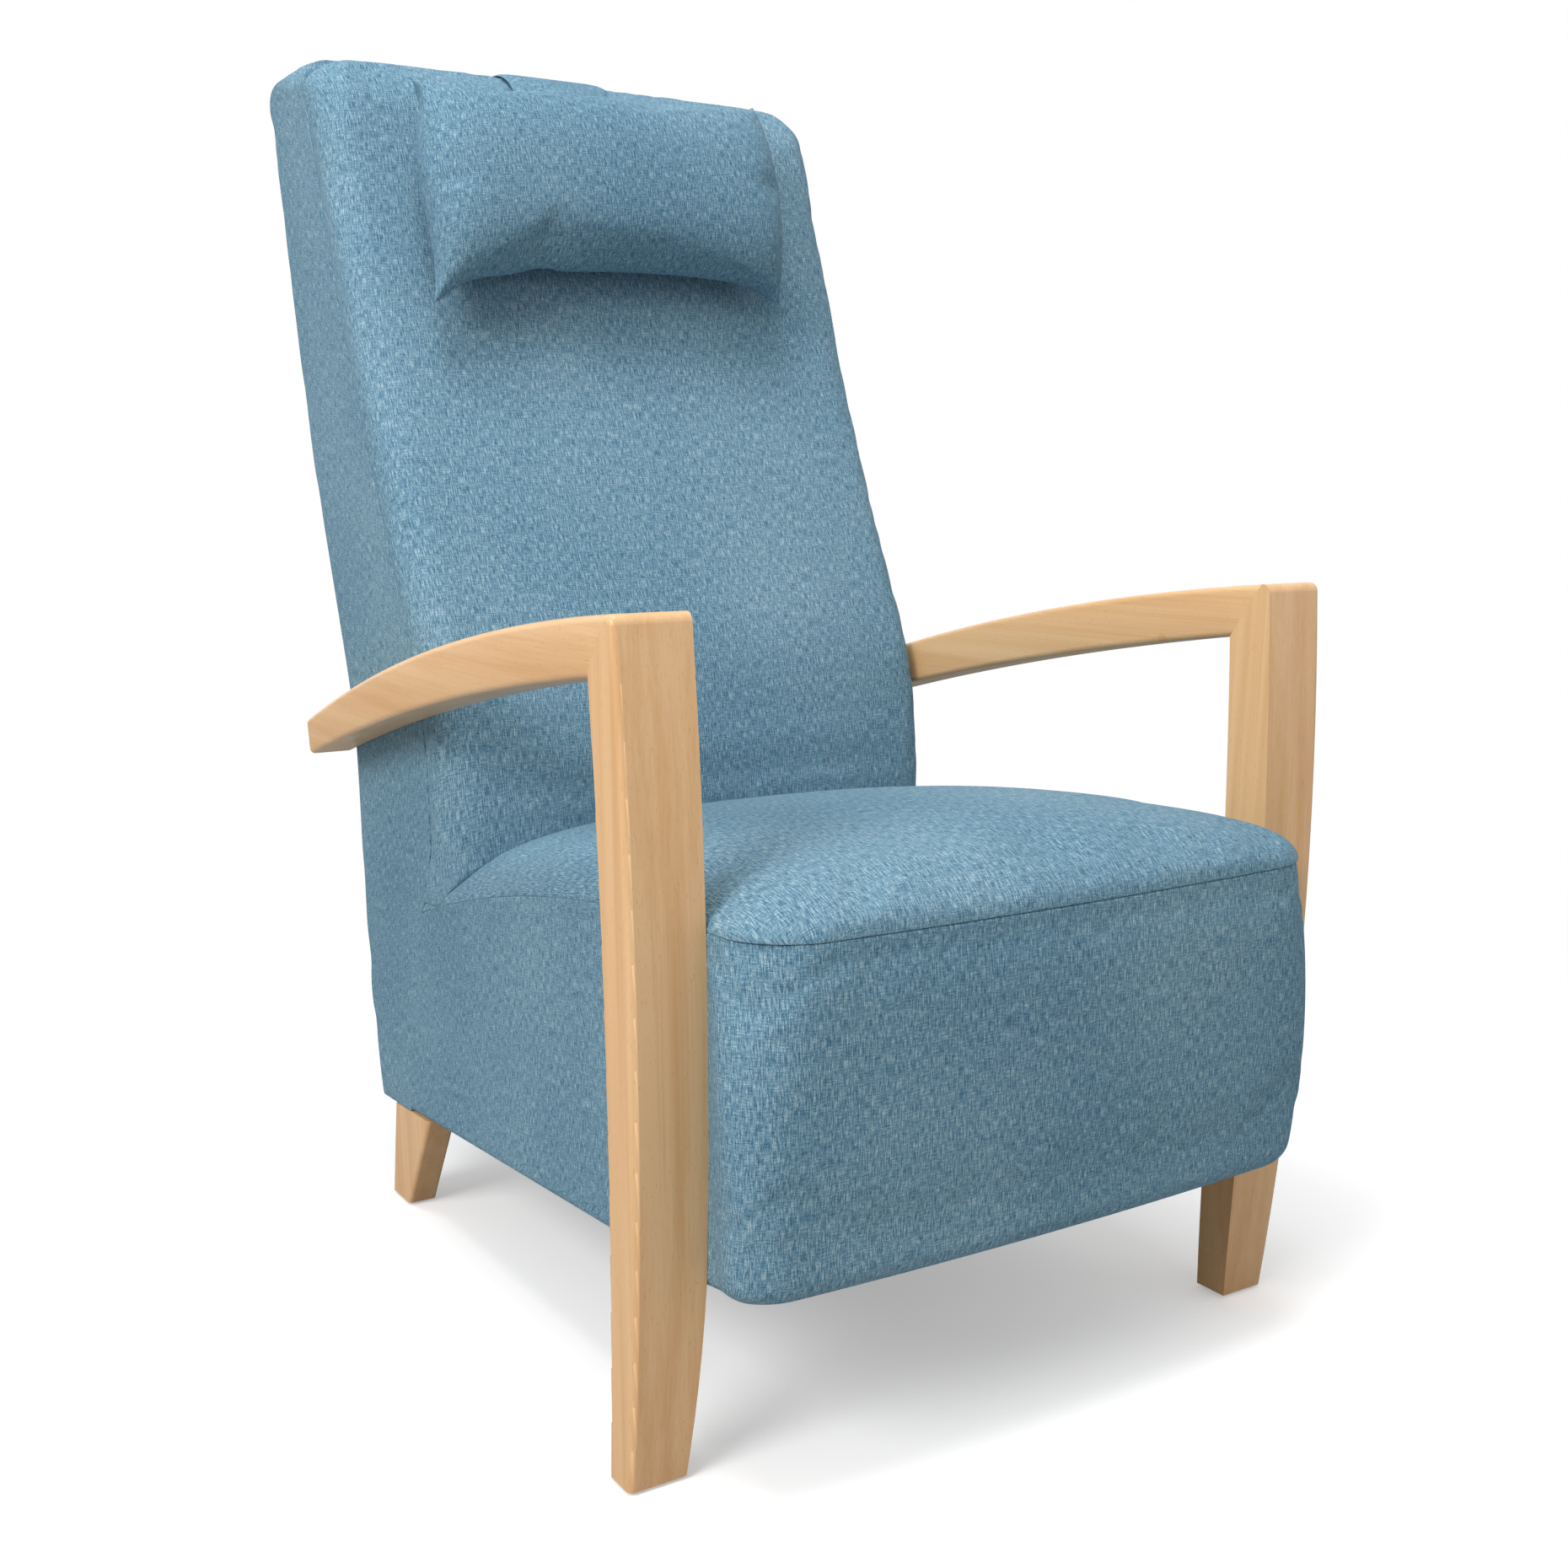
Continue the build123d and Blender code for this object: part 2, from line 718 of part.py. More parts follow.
# Frame of the back: uprights behind the webbing, and the rails between them
with BuildPart() as back_upright:
    with BuildSketch(Plane.YZ.offset(board_inner)):
        region(shifted(slab_line, lining + web_thickness), shifted(slab_line, back_reach))
    extrude(amount=board)
    add(before_rear_panel.part, mode=Mode.INTERSECT)
    add(back_block.part, mode=Mode.INTERSECT)
    split(bisect_by=top_cut, keep=Keep.BOTTOM)
    cut_side_holes(arm_bolt_places, board_inner, board)
    cut_leg_bolt_holes()
save_pair(back_upright, "back_upright")


def back_rail(low, high, reach):
    """A rail between the uprights whose front runs from low to high in the side view."""
    with BuildPart() as made:
        with BuildSketch(Plane.YZ):
            with BuildLine():
                ends = shifted([high, low], reach)
                Polyline(low, high, *ends, close=True)
            make_face()
        extrude(amount=board_inner, both=True)
    return made


def along(points, share, length):
    """Two points, length apart, on the straight from one point to the next."""
    (y0, z0), (y1, z1) = points[0][:2], points[1][:2]
    run = hypot(y1 - y0, z1 - z0)
    step = length / run
    low = (y0 + (y1 - y0) * share, z0 + (z1 - z0) * share)
    return low, (low[0] + (y1 - y0) * step, low[1] + (z1 - z0) * step)


rail_slack = 2 * web_thickness
foot_rail_share = 0.08
lumbar_rail_share = 0.10
top_rail_share = 0.62
top_rail_line = shifted(slab_line[-2:], rail_slack)
save(back_rail(*along(top_rail_line, top_rail_share, back_rail_height), rail), "back_top_rail")
lumbar_rail_line = shifted(slab_line[2:4], rail_slack)
save(
    back_rail(*along(lumbar_rail_line, lumbar_rail_share, back_rail_height), rail),
    "back_lumbar_rail",
)
foot_rail_line = shifted(pad_line[:2], -rail)
save(
    back_rail(*along(foot_rail_line, foot_rail_share, back_rail_height), rail),
    "back_bottom_rail",
)

# Elastic webbing on the front edges of the uprights, just clear of the cushion
with BuildPart() as back_webbing:
    with BuildSketch(Plane.YZ):
        region(shifted(slab_line, lining), shifted(slab_line, lining + web_thickness))
    extrude(amount=board_outer, both=True)
    web_low = slab_line[3][1]
    web_step = (slab_line[-1][1] - back_pad - web_low) / web_count
    with BuildSketch(Plane.XZ):
        for index in range(web_count):
            with Locations((0, web_low + web_step * (index + 1 / 2))):
                Rectangle(2 * board_outer, web_width)
    extrude(amount=overall_depth, both=True, mode=Mode.INTERSECT)
save(back_webbing, "back_webbing")


# Back cushion: crowned between its sides, which are drawn in, and cut along the slab behind it
crown_shares = [(0.00, 1.00), (0.30, 0.91), (0.60, 0.64), (0.918, 0.16)]
edge_shares = [(0.952, 0.10), (0.982, 0.38), (1.00, 1.00)]


def cushion_section(x, forward, drawn_in):
    """Side view of the back cushion at x, its face moved forward and then drawn in."""
    face_line = shifted(front_line, drawn_in - forward)
    middle = crest_point((pi / 2 - neck_lean) / 2, forward, -drawn_in)
    end = crest_point(0, forward, -drawn_in)
    start = crest_point(pi / 2 - neck_lean, forward, -drawn_in)
    face_line[-1] = (*start, 0)
    behind = crest_y + back_pad
    with BuildSketch(Plane.YZ.offset(x)) as section:
        with BuildLine() as outline:
            foot, _ = bent_line(face_line)
            ThreePointArc(start, middle, end)
            Polyline(end, (behind, end[1]), (behind, seam_rear_height), (seam_rear_y, seam_rear_height))
            Line((seam_rear_y, seam_rear_height), foot)
        make_face(outline.line)
    return section.sketch


cushion_places = [(x, crown * back_crown, 0) for x, crown in crown_shares]
cushion_places += [(x, 0, share * back_edge) for x, share in edge_shares]
with BuildPart() as back_cushion:
    mirrored_places = [(-x, *rest) for x, *rest in reversed(cushion_places[1:])]
    places = mirrored_places + cushion_places
    loft([cushion_section(x * body_half, *rest) for x, *rest in places], ruled=True)
    add(before_slab.part, mode=Mode.INTERSECT)
save(back_cushion, "back_cushion")

# Seat cushion: sections across its length give the crown and the rolled edges
seat_crown_shares = [
    (0.000, 0.02), (0.006, 0.22), (0.017, 0.38), (0.035, 0.52), (0.144, 0.82), (0.276, 0.95),
    (0.470, 1.02), (0.640, 1.08), (0.880, 1.24), (1.050, 1.30),
]
crown_facets = 12
roll_facets = 4


def crown_section(length_share, crown_share):
    """Front view of the space under the crown at a share of the seat's length."""
    y = front_y + (seam_rear_y - front_y) * length_share
    roll = seat_roll * min(1, crown_share / seat_crown_shares[4][1])
    side_height = seam_height(y)
    shoulder_x, shoulder_z = body_half - roll, side_height + roll
    bow = seat_crown * crown_share - roll
    turns = [pi / 2 * index / roll_facets for index in range(roll_facets)]
    rolled = [(shoulder_x + roll * cos(turn), side_height + roll * sin(turn)) for turn in turns]
    crown_xs = [shoulder_x * (1 - 2 * index / crown_facets) for index in range(crown_facets + 1)]
    ends = ((-shoulder_x, shoulder_z), (shoulder_x, shoulder_z))
    crown = [(x, arc_height(*ends, bow, x)) for x in crown_xs]
    others = [(-x, z) for x, z in reversed(rolled)]
    with BuildSketch(Plane.XZ.offset(-y)) as section:
        with BuildLine() as outline:
            Polyline((body_half, 0), *rolled, *crown, *others, (-body_half, 0), close=True)
        make_face(outline.line)
    return section.sketch


cushion_rear = seam_rear_y + front_pad
with BuildPart() as seat_cushion:
    loft([crown_section(*shares) for shares in seat_crown_shares], ruled=True)
    with BuildSketch(Plane.XY) as seat_outline:
        with BuildLine():
            Line((body_half, cushion_rear), (body_half, corner_y))
            ThreePointArc((body_half, corner_y), (0, front_y), (-body_half, corner_y))
            Polyline((-body_half, corner_y), (-body_half, cushion_rear), (body_half, cushion_rear))
        make_face()
        front_corners = seat_outline.vertices().group_by(Axis.Y)[0]
        fillet(front_corners, front_corner)
    extrude(amount=overall_height, mode=Mode.INTERSECT)
    with BuildSketch(Plane.YZ):
        with BuildLine():
            low_start, low_end = (front_y - front_pad, 0), (cushion_rear + front_pad, 0)
            arch_start = (low_start[0], seam_height(low_start[0]))
            arch_end = (low_end[0], seam_height(low_end[0]))
            ThreePointArc(arch_start, seam_middle, arch_end)
            Polyline(arch_end, low_end, low_start, arch_start)
        make_face()
    extrude(amount=half_width, both=True, mode=Mode.SUBTRACT)
    add(back_block.part, mode=Mode.SUBTRACT)
    add(back_cushion.part, mode=Mode.SUBTRACT)
save(seat_cushion, "seat_cushion")


# Bolts: through the boards and panels into the posts and arms, and down into the rear legs
def side_bolts(places):
    """Bolts along X with heads inside the frame, on both sides of the chair."""
    with BuildPart() as made:
        for y, z in places:
            with BuildSketch(Plane(origin=(board_inner, y, z), x_dir=(0, 1, 0), z_dir=(1, 0, 0))):
                RegularPolygon(bolt / 2, bolt_sides)
            extrude(amount=inner_face + bolt_grip - board_inner)
            with BuildSketch(Plane(origin=(board_inner, y, z), x_dir=(0, 1, 0), z_dir=(1, 0, 0))):
                RegularPolygon(bolt_head / 2, bolt_head_sides)
            extrude(amount=-bolt_head_height)
        mirror(about=Plane.YZ)
    return made


save(side_bolts(post_bolt_places), "post_bolts")
save(side_bolts(arm_bolt_places), "arm_bolts")

with BuildPart() as leg_bolts:
    for y in leg_bolt_ys:
        with BuildSketch(Plane.XY.offset(belly_height(y) - bolt_grip)):
            with Locations((leg_bolt_x, y)):
                RegularPolygon(bolt / 2, bolt_sides)
        extrude(amount=2 * bolt_grip)
    mirror(about=Plane.YZ)
save(leg_bolts, "leg_bolts")

# Neck pillow: lens-shaped sections across its width, thinning and rounding off to its ends
half_pillow_shares = [
    (1.00, 0.66, 0.10), (0.94, 0.92, 0.40), (0.82, 1.00, 0.66), (0.52, 0.985, 0.91),
    (0.00, 0.97, 1.00),
]
pillow_facets = 6
pillow_shares = [(-place, *rest) for place, *rest in half_pillow_shares]
pillow_shares += reversed(half_pillow_shares[:-1])
lean, tilt = radians(pillow_lean), radians(pillow_tilt)
pillow_seat = side_point(*pillow_seat_shares)
pillow_centre = (
    pillow_offset,
    pillow_seat[0] - back_crown - (pillow_thickness / 2 + pillow_clear) * cos(lean),
    pillow_seat[1] + (pillow_thickness / 2 + pillow_clear) * sin(lean),
)
pillow_up = (-sin(tilt), sin(lean) * cos(tilt), cos(lean) * cos(tilt))
pillow_across = (cos(tilt), sin(lean) * sin(tilt), cos(lean) * sin(tilt))
pillow_middle = Plane(origin=pillow_centre, x_dir=pillow_up, z_dir=pillow_across)


def pillow_section(place, height_share, thickness_share):
    """Lens across the pillow at a share of its half width."""
    top = pillow_height * height_share / 2
    edge = pillow_edge / 2
    swell = edge + (pillow_thickness / 2 - edge) * thickness_share
    heights = [top * (1 - 2 * index / pillow_facets) for index in range(pillow_facets + 1)]
    face = [(height, arc_height((-top, edge), (top, edge), swell - edge, height)) for height in heights]
    with BuildSketch(pillow_middle.offset(place * pillow_width / 2)) as section:
        with BuildLine() as outline:
            Polyline(*face, *[(-height, -depth) for height, depth in face], close=True)
        make_face(outline.line)
    return section.sketch


with BuildPart() as neck_pillow:
    loft([pillow_section(*shares) for shares in pillow_shares], ruled=True)
save(neck_pillow, "neck_pillow")

# Strap: from the pillow's top edge over the crest and the top, then down behind the back
strap_start = (
    pillow_centre[1] + (pillow_height / 2 - pillow_edge) * sin(lean),
    pillow_centre[2] + (pillow_height / 2 - pillow_edge) * cos(lean),
)
reach_y, reach_z = strap_start[0] - (crest_y - back_crown), strap_start[1] - crest_z
strap_radius = crest_radius + soft_gap
strap_turn = atan2(-reach_y, reach_z) - acos(strap_radius / hypot(reach_y, reach_z))


def strap_line(rise):
    """Face of the strap, rise above the cushion, from the pillow to the top."""
    start = (
        strap_start[0] - (rise - soft_gap) * sin(strap_turn),
        strap_start[1] + (rise - soft_gap) * cos(strap_turn),
    )
    turned = [crest_point(strap_turn * share, back_crown, rise) for share in (1, 1 / 2, 0)]
    Line(start, turned[0])
    ThreePointArc(*turned)
    Line(turned[-1], (strap_split, turned[-1][1]))
    return start, (strap_split, turned[-1][1])


strap_split = (crest_y + top_rear[0]) / 2
strap_x = pillow_offset
with BuildPart() as strap_front:
    with BuildSketch(Plane.YZ.offset(strap_x)):
        with BuildLine():
            under, over = strap_line(soft_gap), strap_line(soft_gap + strap_thickness)
            Line(under[0], over[0])
            Line(under[1], over[1])
        make_face()
    extrude(amount=strap_width / 2, both=True)
    add(neck_pillow.part, mode=Mode.SUBTRACT)
save(strap_front, "strap_front")

strap_bend_y, strap_bend_z = top_rear[0], back_top - back_top_radius


def strap_bend(rise):
    """Quarter turn over the rear edge of the top, as start, middle and end."""
    radius = back_top_radius + rise
    short = radius * cos(pi / 4)
    start, end = (strap_bend_y, strap_bend_z + radius), (strap_bend_y + radius, strap_bend_z)
    return start, (strap_bend_y + short, strap_bend_z + short), end


with BuildPart() as strap_top:
    with BuildSketch(Plane.YZ.offset(strap_x)):
        with BuildLine():
            under, over = strap_bend(soft_gap), strap_bend(soft_gap + strap_thickness)
            ThreePointArc(*under)
            ThreePointArc(*over)
            Line(under[-1], over[-1])
            Polyline(under[0], (strap_split, under[0][1]), (strap_split, over[0][1]), over[0])
        make_face()
    extrude(amount=strap_width / 2, both=True)
save(strap_top, "strap_top")

weight_top = back_top - weight_drop
with BuildPart() as strap_rear:
    with BuildSketch(Plane.XY.offset(weight_top)):
        with Locations((strap_x, strap_y - strap_thickness / 2)):
            Rectangle(strap_width, strap_thickness)
    extrude(amount=strap_bend_z - weight_top)
save(strap_rear, "strap_rear")

# Counterweight: a bar sewn into a closed sleeve at the strap's rear end
with BuildPart() as weight_bar:
    with Locations((strap_x, strap_y - weight_thickness / 2, weight_top - weight_height / 2)):
        wall = 2 * weight_wall
        Box(strap_width - wall, weight_thickness - wall, weight_height - wall)
save(weight_bar, "weight_bar")

with BuildPart() as weight_sleeve:
    with Locations((strap_x, strap_y - weight_thickness / 2, weight_top - weight_height / 2)):
        Box(strap_width, weight_thickness, weight_height)
    fillet(weight_sleeve.edges().filter_by(Axis.X), weight_wall)
    add(weight_bar.part, mode=Mode.SUBTRACT)
save(weight_sleeve, "weight_sleeve")
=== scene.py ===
import json
import math

import bmesh
import bpy
import numpy as np
from mathutils import Euler, Matrix, Vector


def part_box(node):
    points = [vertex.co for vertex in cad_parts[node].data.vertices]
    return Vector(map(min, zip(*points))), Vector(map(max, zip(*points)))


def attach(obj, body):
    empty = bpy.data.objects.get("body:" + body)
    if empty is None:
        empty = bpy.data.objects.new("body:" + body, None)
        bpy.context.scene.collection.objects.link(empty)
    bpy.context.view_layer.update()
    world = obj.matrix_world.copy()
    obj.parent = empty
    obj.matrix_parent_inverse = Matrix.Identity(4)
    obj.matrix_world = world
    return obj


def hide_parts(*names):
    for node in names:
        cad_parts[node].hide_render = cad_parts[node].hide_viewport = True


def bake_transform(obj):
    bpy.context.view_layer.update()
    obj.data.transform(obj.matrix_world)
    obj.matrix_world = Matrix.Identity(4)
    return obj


bl_info = {
    "name": "High-back easy chair",
    "version": (1, 0, 0),
    "blender": (4, 5, 0),
    "location": "3D Viewport > Sidebar > Easy Chair",
    "description": "Upholsters and finishes the packed easy chair, piece by piece",
    "category": "Object",
}

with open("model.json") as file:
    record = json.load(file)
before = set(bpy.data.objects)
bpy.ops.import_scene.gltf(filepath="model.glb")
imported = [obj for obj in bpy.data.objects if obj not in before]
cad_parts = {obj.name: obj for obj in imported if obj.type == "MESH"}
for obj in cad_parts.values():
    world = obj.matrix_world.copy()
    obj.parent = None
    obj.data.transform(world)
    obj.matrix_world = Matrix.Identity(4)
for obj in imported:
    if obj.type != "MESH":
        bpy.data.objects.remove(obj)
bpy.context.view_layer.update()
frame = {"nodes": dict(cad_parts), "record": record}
NODES = frame["nodes"]
MM = 0.001
LINE_STEP = 4 * MM

# Side view of the chair in metres, as (y, z), with the share of the shorter straight beside
# each corner that its rounding takes up. These are the CAD source's own points.
FRONT_LINE = [
    (0.0697, 0.3678, 0), (0.0697, 0.5224, 0.51), (0.2152, 0.8238, 0.24), (0.2893, 1.0591, 0),
]
SLAB_LINE = [
    (0.2079, 0.1101, 0), (0.1937, 0.2397, 0.17), (0.1165, 0.3919, 0.18), (0.1158, 0.5224, 0.61),
    (0.2613, 0.8238, 0.20), (0.3504, 1.1057, 0),
]
REAR_LINE = [
    (0.3001, 0.1030, 0), (0.3247, 0.2545, 0.20), (0.3247, 0.4960, 0.21), (0.4226, 0.8230, 0.79),
    (0.4537, 1.0717, 0),
]
SEAM_FRONT, SEAM_REAR, SEAM_BOW = (-0.457, 0.423), (0.1484, 0.329), 0.026
BELLY_FRONT, BELLY_REAR = (-0.457, 0.161), (0.3001, 0.103)
# Half width of the body, place of the arms' inner faces, and top of the back. The pads stay a
# little inside the body's sides.
BODY_HALF, INNER_FACE, BACK_TOP = 0.2697, 0.270, 1.1057
PAD_HALF = BODY_HALF - 0.0006
CREST_CENTRE, CREST_RADIUS = (0.3529, 1.0391), 0.0666
BEND_CENTRE, BEND_RADIUS = (0.4197, 1.0717), 0.034

# The photograph's camera: its place in metres, yaw, pitch and roll in degrees, and lens shift
CAMERA_PLACE, CAMERA_TURN = (-0.8422, -1.3565, 0.7088), (31.065, 14.985, -0.408)
CAMERA_SHIFT = (0.0382, 0.1094)


def hex_colour(name, what, default):
    return bpy.props.StringProperty(
        name=name, description=f"sRGB hex colour of {what}", default=default
    )


def distance(name, description, default, low, high):
    return bpy.props.FloatProperty(
        name=name, description=description, default=default, min=low, max=high,
        subtype="DISTANCE", unit="LENGTH",
    )


def lamp_power(name, what, default):
    return bpy.props.FloatProperty(
        name=name, description=f"Power of {what}, in watts", default=default, min=0, max=1000,
        subtype="POWER", unit="POWER",
    )


class ChairUpholstery(bpy.types.PropertyGroup):
    """Sizes and colours of the woven cover and its padding"""

    thread_mm: bpy.props.FloatProperty(
        name="Thread spacing",
        description="Distance between neighbouring threads of the weave, in millimetres",
        default=0.80, min=0.3, max=5,
    )
    light_yarn: hex_colour("Light yarn", "the palest fibres", "#b3c8d1")
    blue_yarn: hex_colour("Blue yarn", "most of the yarn", "#5b859d")
    pale_yarn: hex_colour("Pale yarn", "the paler yarn", "#7da0b1")
    dark_yarn: hex_colour("Dark yarn", "the darkest fibres", "#3c5f74")
    seat_crown: distance(
        "Seat crown", "Height of the seat pad's middle over its seam", 0.053, 0.02, 0.08
    )
    back_crown: distance(
        "Back crown", "How far the middle of the back swells over its edges", 0.010, 0, 0.03
    )
    edge_roll: distance(
        "Edge roll", "Radius that rounds the long edges of the back", 0.033, 0.005, 0.04
    )


class ChairBeech(bpy.types.PropertyGroup):
    """Colours of the lacquered beech"""

    pale_wood: hex_colour("Early wood", "the pale wood", "#eabf8d")
    dark_wood: hex_colour("Late wood", "the darker streaks", "#deac76")
    fleck: hex_colour("Ray flecks", "the short ray flecks", "#be8c58")


class ChairStage(bpy.types.PropertyGroup):
    """Camera and lamps"""

    lens_mm: bpy.props.FloatProperty(
        name="Lens", description="Focal length on a 36 mm sensor, in millimetres", default=39.47,
        min=10, max=200,
    )
    key_watts: lamp_power("Key lamp", "the large lamp at the left", 80)
    fill_watts: lamp_power("Fill lamp", "the large lamp at the right", 9)
    top_watts: lamp_power("Top lamp", "the lamp overhead", 43)


def colour(text):
    """Linear RGBA of an sRGB hex value."""
    channels = [int(text[i:i + 2], 16) / 255 for i in (1, 3, 5)]
    return (*[c / 12.92 if c <= 0.04045 else ((c + 0.055) / 1.055) ** 2.4 for c in channels], 1)


def add_node(tree, kind, inputs=None, **settings):
    """Adds a node and returns its output sockets.

    inputs are its values or the sockets to link, settings its own properties.
    """
    node = tree.nodes.new(kind)
    for key, value in settings.items():
        setattr(node, key, value)
    for key, value in (inputs or {}).items():
        socket = node.inputs[key]
        if isinstance(value, bpy.types.NodeSocket):
            tree.links.new(value, socket)
        else:
            socket.default_value = value
    return node.outputs


def new_material(name, **values):
    """A material, its node tree and its shader, with the shader's uniform values set."""
    material = bpy.data.materials.new(name)
    material.use_nodes = True
    shader = material.node_tree.nodes["Principled BSDF"]
    for key, value in values.items():
        shader.inputs[key.replace("_", " ")].default_value = value
    return material, material.node_tree, shader


def ramp(tree, factor, stops):
    """A colour ramp fed by a socket, with (place, hex) stops."""
    node = tree.nodes.new("ShaderNodeValToRGB")
    tree.links.new(factor, node.inputs["Fac"])
    while len(node.color_ramp.elements) < len(stops):
        node.color_ramp.elements.new(0.5)
    for element, (place, text) in zip(node.color_ramp.elements, stops):
        element.position = place
        element.color = colour(text)
    return node.outputs["Color"]


def stretched_noise(tree, vector, sizes_mm, detail, roughness, shift=(0, 0, 0)):
    """Noise whose features have the given real sizes along the three coordinates."""
    scale = [1 / (size * MM) for size in sizes_mm]
    inputs = {"Vector": vector, "Scale": scale, "Location": shift}
    mapped = add_node(tree, "ShaderNodeMapping", inputs)[0]
    inputs = {"Vector": mapped, "Scale": 1.0, "Detail": detail, "Roughness": roughness}
    return add_node(tree, "ShaderNodeTexNoise", inputs)["Fac"]


def maths(tree, operation, a, b=0.0, c=0.0):
    inputs = {0: a, 1: b, 2: c}
    return add_node(tree, "ShaderNodeMath", inputs, operation=operation)[0]


def map_range(tree, value, low, high, highest=1.0, **settings):
    """0 at low, and highest at high and beyond."""
    inputs = {"Value": value, "From Min": low, "From Max": high, "To Max": highest}
    return add_node(tree, "ShaderNodeMapRange", inputs, **settings)[0]


def object_place(tree):
    return add_node(tree, "ShaderNodeTexCoord")["Object"]


def colour_and_bump(tree, shader, base, height, strength, depth_mm):
    """Gives the shader its colour, and a bump of the given depth from the height."""
    tree.links.new(base, shader.inputs["Base Color"])
    inputs = {"Height": height, "Strength": strength, "Distance": depth_mm * MM}
    tree.links.new(add_node(tree, "ShaderNodeBump", inputs)[0], shader.inputs["Normal"])


def woven_cover(name, upholstery, shade=0.0):
    """Melange upholstery cloth: polyester yarns of mixed blues, woven on a dobby loom.

    Slubs run with the warp and, fainter, with the weft. Real threads lie 0.6 mm apart; they are
    drawn a third coarser, so that they show at the render's size.
    """
    material, tree, shader = new_material(
        name, Roughness=0.86, Sheen_Weight=0.10, Sheen_Roughness=0.45,
        Sheen_Tint=colour("#a8c4d2"), Specular_IOR_Level=0.20,
    )
    uv = add_node(tree, "ShaderNodeUVMap", uv_map="cloth_m")["UV"]
    thread = upholstery.thread_mm
    warp = stretched_noise(tree, uv, (thread * 1.3, thread * 12, 1), 3.0, 0.70)
    weft = stretched_noise(tree, uv, (thread * 10, thread * 1.3, 1), 3.0, 0.70, (3.7, 9.1, 0))
    fibre = stretched_noise(tree, uv, (thread * 0.8, thread * 1.1, 1), 3.0, 0.75, (1.3, 5.2, 0))
    worn = stretched_noise(tree, uv, (150, 210, 1), 2.0, 0.5, (7.7, 2.2, 0))
    mixed = maths(tree, "MULTIPLY_ADD", warp, 0.46, maths(tree, "MULTIPLY", weft, 0.25))
    mixed = maths(tree, "MULTIPLY_ADD", fibre, 0.29, mixed)
    mixed = maths(tree, "MULTIPLY_ADD", worn, 0.05, maths(tree, "SUBTRACT", mixed, 0.025 + shade))
    yarn = ramp(tree, mixed, [
        (0.412, upholstery.dark_yarn), (0.476, upholstery.blue_yarn),
        (0.530, upholstery.pale_yarn), (0.598, upholstery.light_yarn),
    ])
    split = add_node(tree, "ShaderNodeSeparateXYZ", {"Vector": uv})
    ridges = [
        maths(tree, "SINE", maths(tree, "MULTIPLY", split[axis], math.pi / (thread * MM)))
        for axis in ("X", "Y")
    ]
    height = maths(tree, "MULTIPLY_ADD", maths(tree, "MULTIPLY", *ridges), 0.35, mixed)
    colour_and_bump(tree, shader, yarn, height, 0.55, 0.6)
    return material


def lacquered_beech(name, beech, grain_mm, shift, plug=None):
    """Steamed beech under a satin lacquer: an even, pale tan with straight soft streaks.

    Short darker ray flecks, 1 to 3 mm long, lie along the grain. The lacquer fills the pores, so
    that the gloss is even and the bump all but gone. plug is the place of a beech plug, 11 mm
    across, that hides a screw head.
    """
    material, tree, shader = new_material(
        name, Roughness=0.42, Coat_Weight=0.32, Coat_Roughness=0.24, Specular_IOR_Level=0.42
    )
    place = object_place(tree)
    grains = (
        (grain_mm, 3.0, 0.55),
        ([size * (7 if size < 50 else 2) for size in grain_mm], 1.0, 0.4),
        ([0.9 if size < 50 else 6.0 for size in grain_mm], 1.0, 0.5),
    )
    streak, broad, fleck = (stretched_noise(tree, place, *g, (shift, 0, 0)) for g in grains)
    tone = maths(tree, "MULTIPLY_ADD", streak, 0.40, maths(tree, "MULTIPLY", broad, 0.60))
    wood = ramp(tree, tone, [(0.34, beech.dark_wood), (0.62, beech.pale_wood)])
    darker = [map_range(tree, fleck, 0.64, 0.76, 0.40)]
    if plug:
        away = add_node(tree, "ShaderNodeVectorMath", {0: place, 1: plug}, operation="DISTANCE")
        darker.append(map_range(
            tree, away["Value"], 0.0060, 0.0050, 0.30, interpolation_type="SMOOTHSTEP"
        ))
    for share in darker:
        inputs = {0: share, 6: wood, 7: colour(beech.fleck)}
        wood = add_node(tree, "ShaderNodeMix", inputs, data_type="RGBA")[2]
    colour_and_bump(tree, shader, wood, streak, 0.12, 0.3)
    return material


def plain_grain(name, hexes, sizes_mm, roughness, bump_mm, **values):
    """A finish whose only pattern is a fine grain between two colours."""
    material, tree, shader = new_material(name, Roughness=roughness, **values)
    grain = stretched_noise(tree, object_place(tree), sizes_mm, 3.0, 0.6)
    base = ramp(tree, grain, [(0.35, hexes[0]), (0.65, hexes[1])])
    colour_and_bump(tree, shader, base, grain, 0.4, bump_mm)
    return material


def metal(name, hexes, size_mm, roughness, bump_mm):
    return plain_grain(name, hexes, (size_mm,) * 3, roughness, bump_mm, Metallic=1.0)


def rounded_path(corners):
    """Points along straights through the corners, joined by tangent arcs, 4 mm apart."""
    points = [np.array(corners[0][:2])]
    for before, corner, after in zip(corners, corners[1:], corners[2:]):
        a, b, c = (np.array(q[:2]) for q in (before, corner, after))
        trim = corner[2] * min(np.linalg.norm(b - a), np.linalg.norm(c - b))
        start, end = (b + (q - b) / np.linalg.norm(q - b) * trim for q in (a, c))
        for t in np.linspace(0, 1, 9):
            points.append((1 - t) ** 2 * start + 2 * t * (1 - t) * b + t * t * end)
    points.append(np.array(corners[-1][:2]))
    return resample(np.array(points), LINE_STEP)


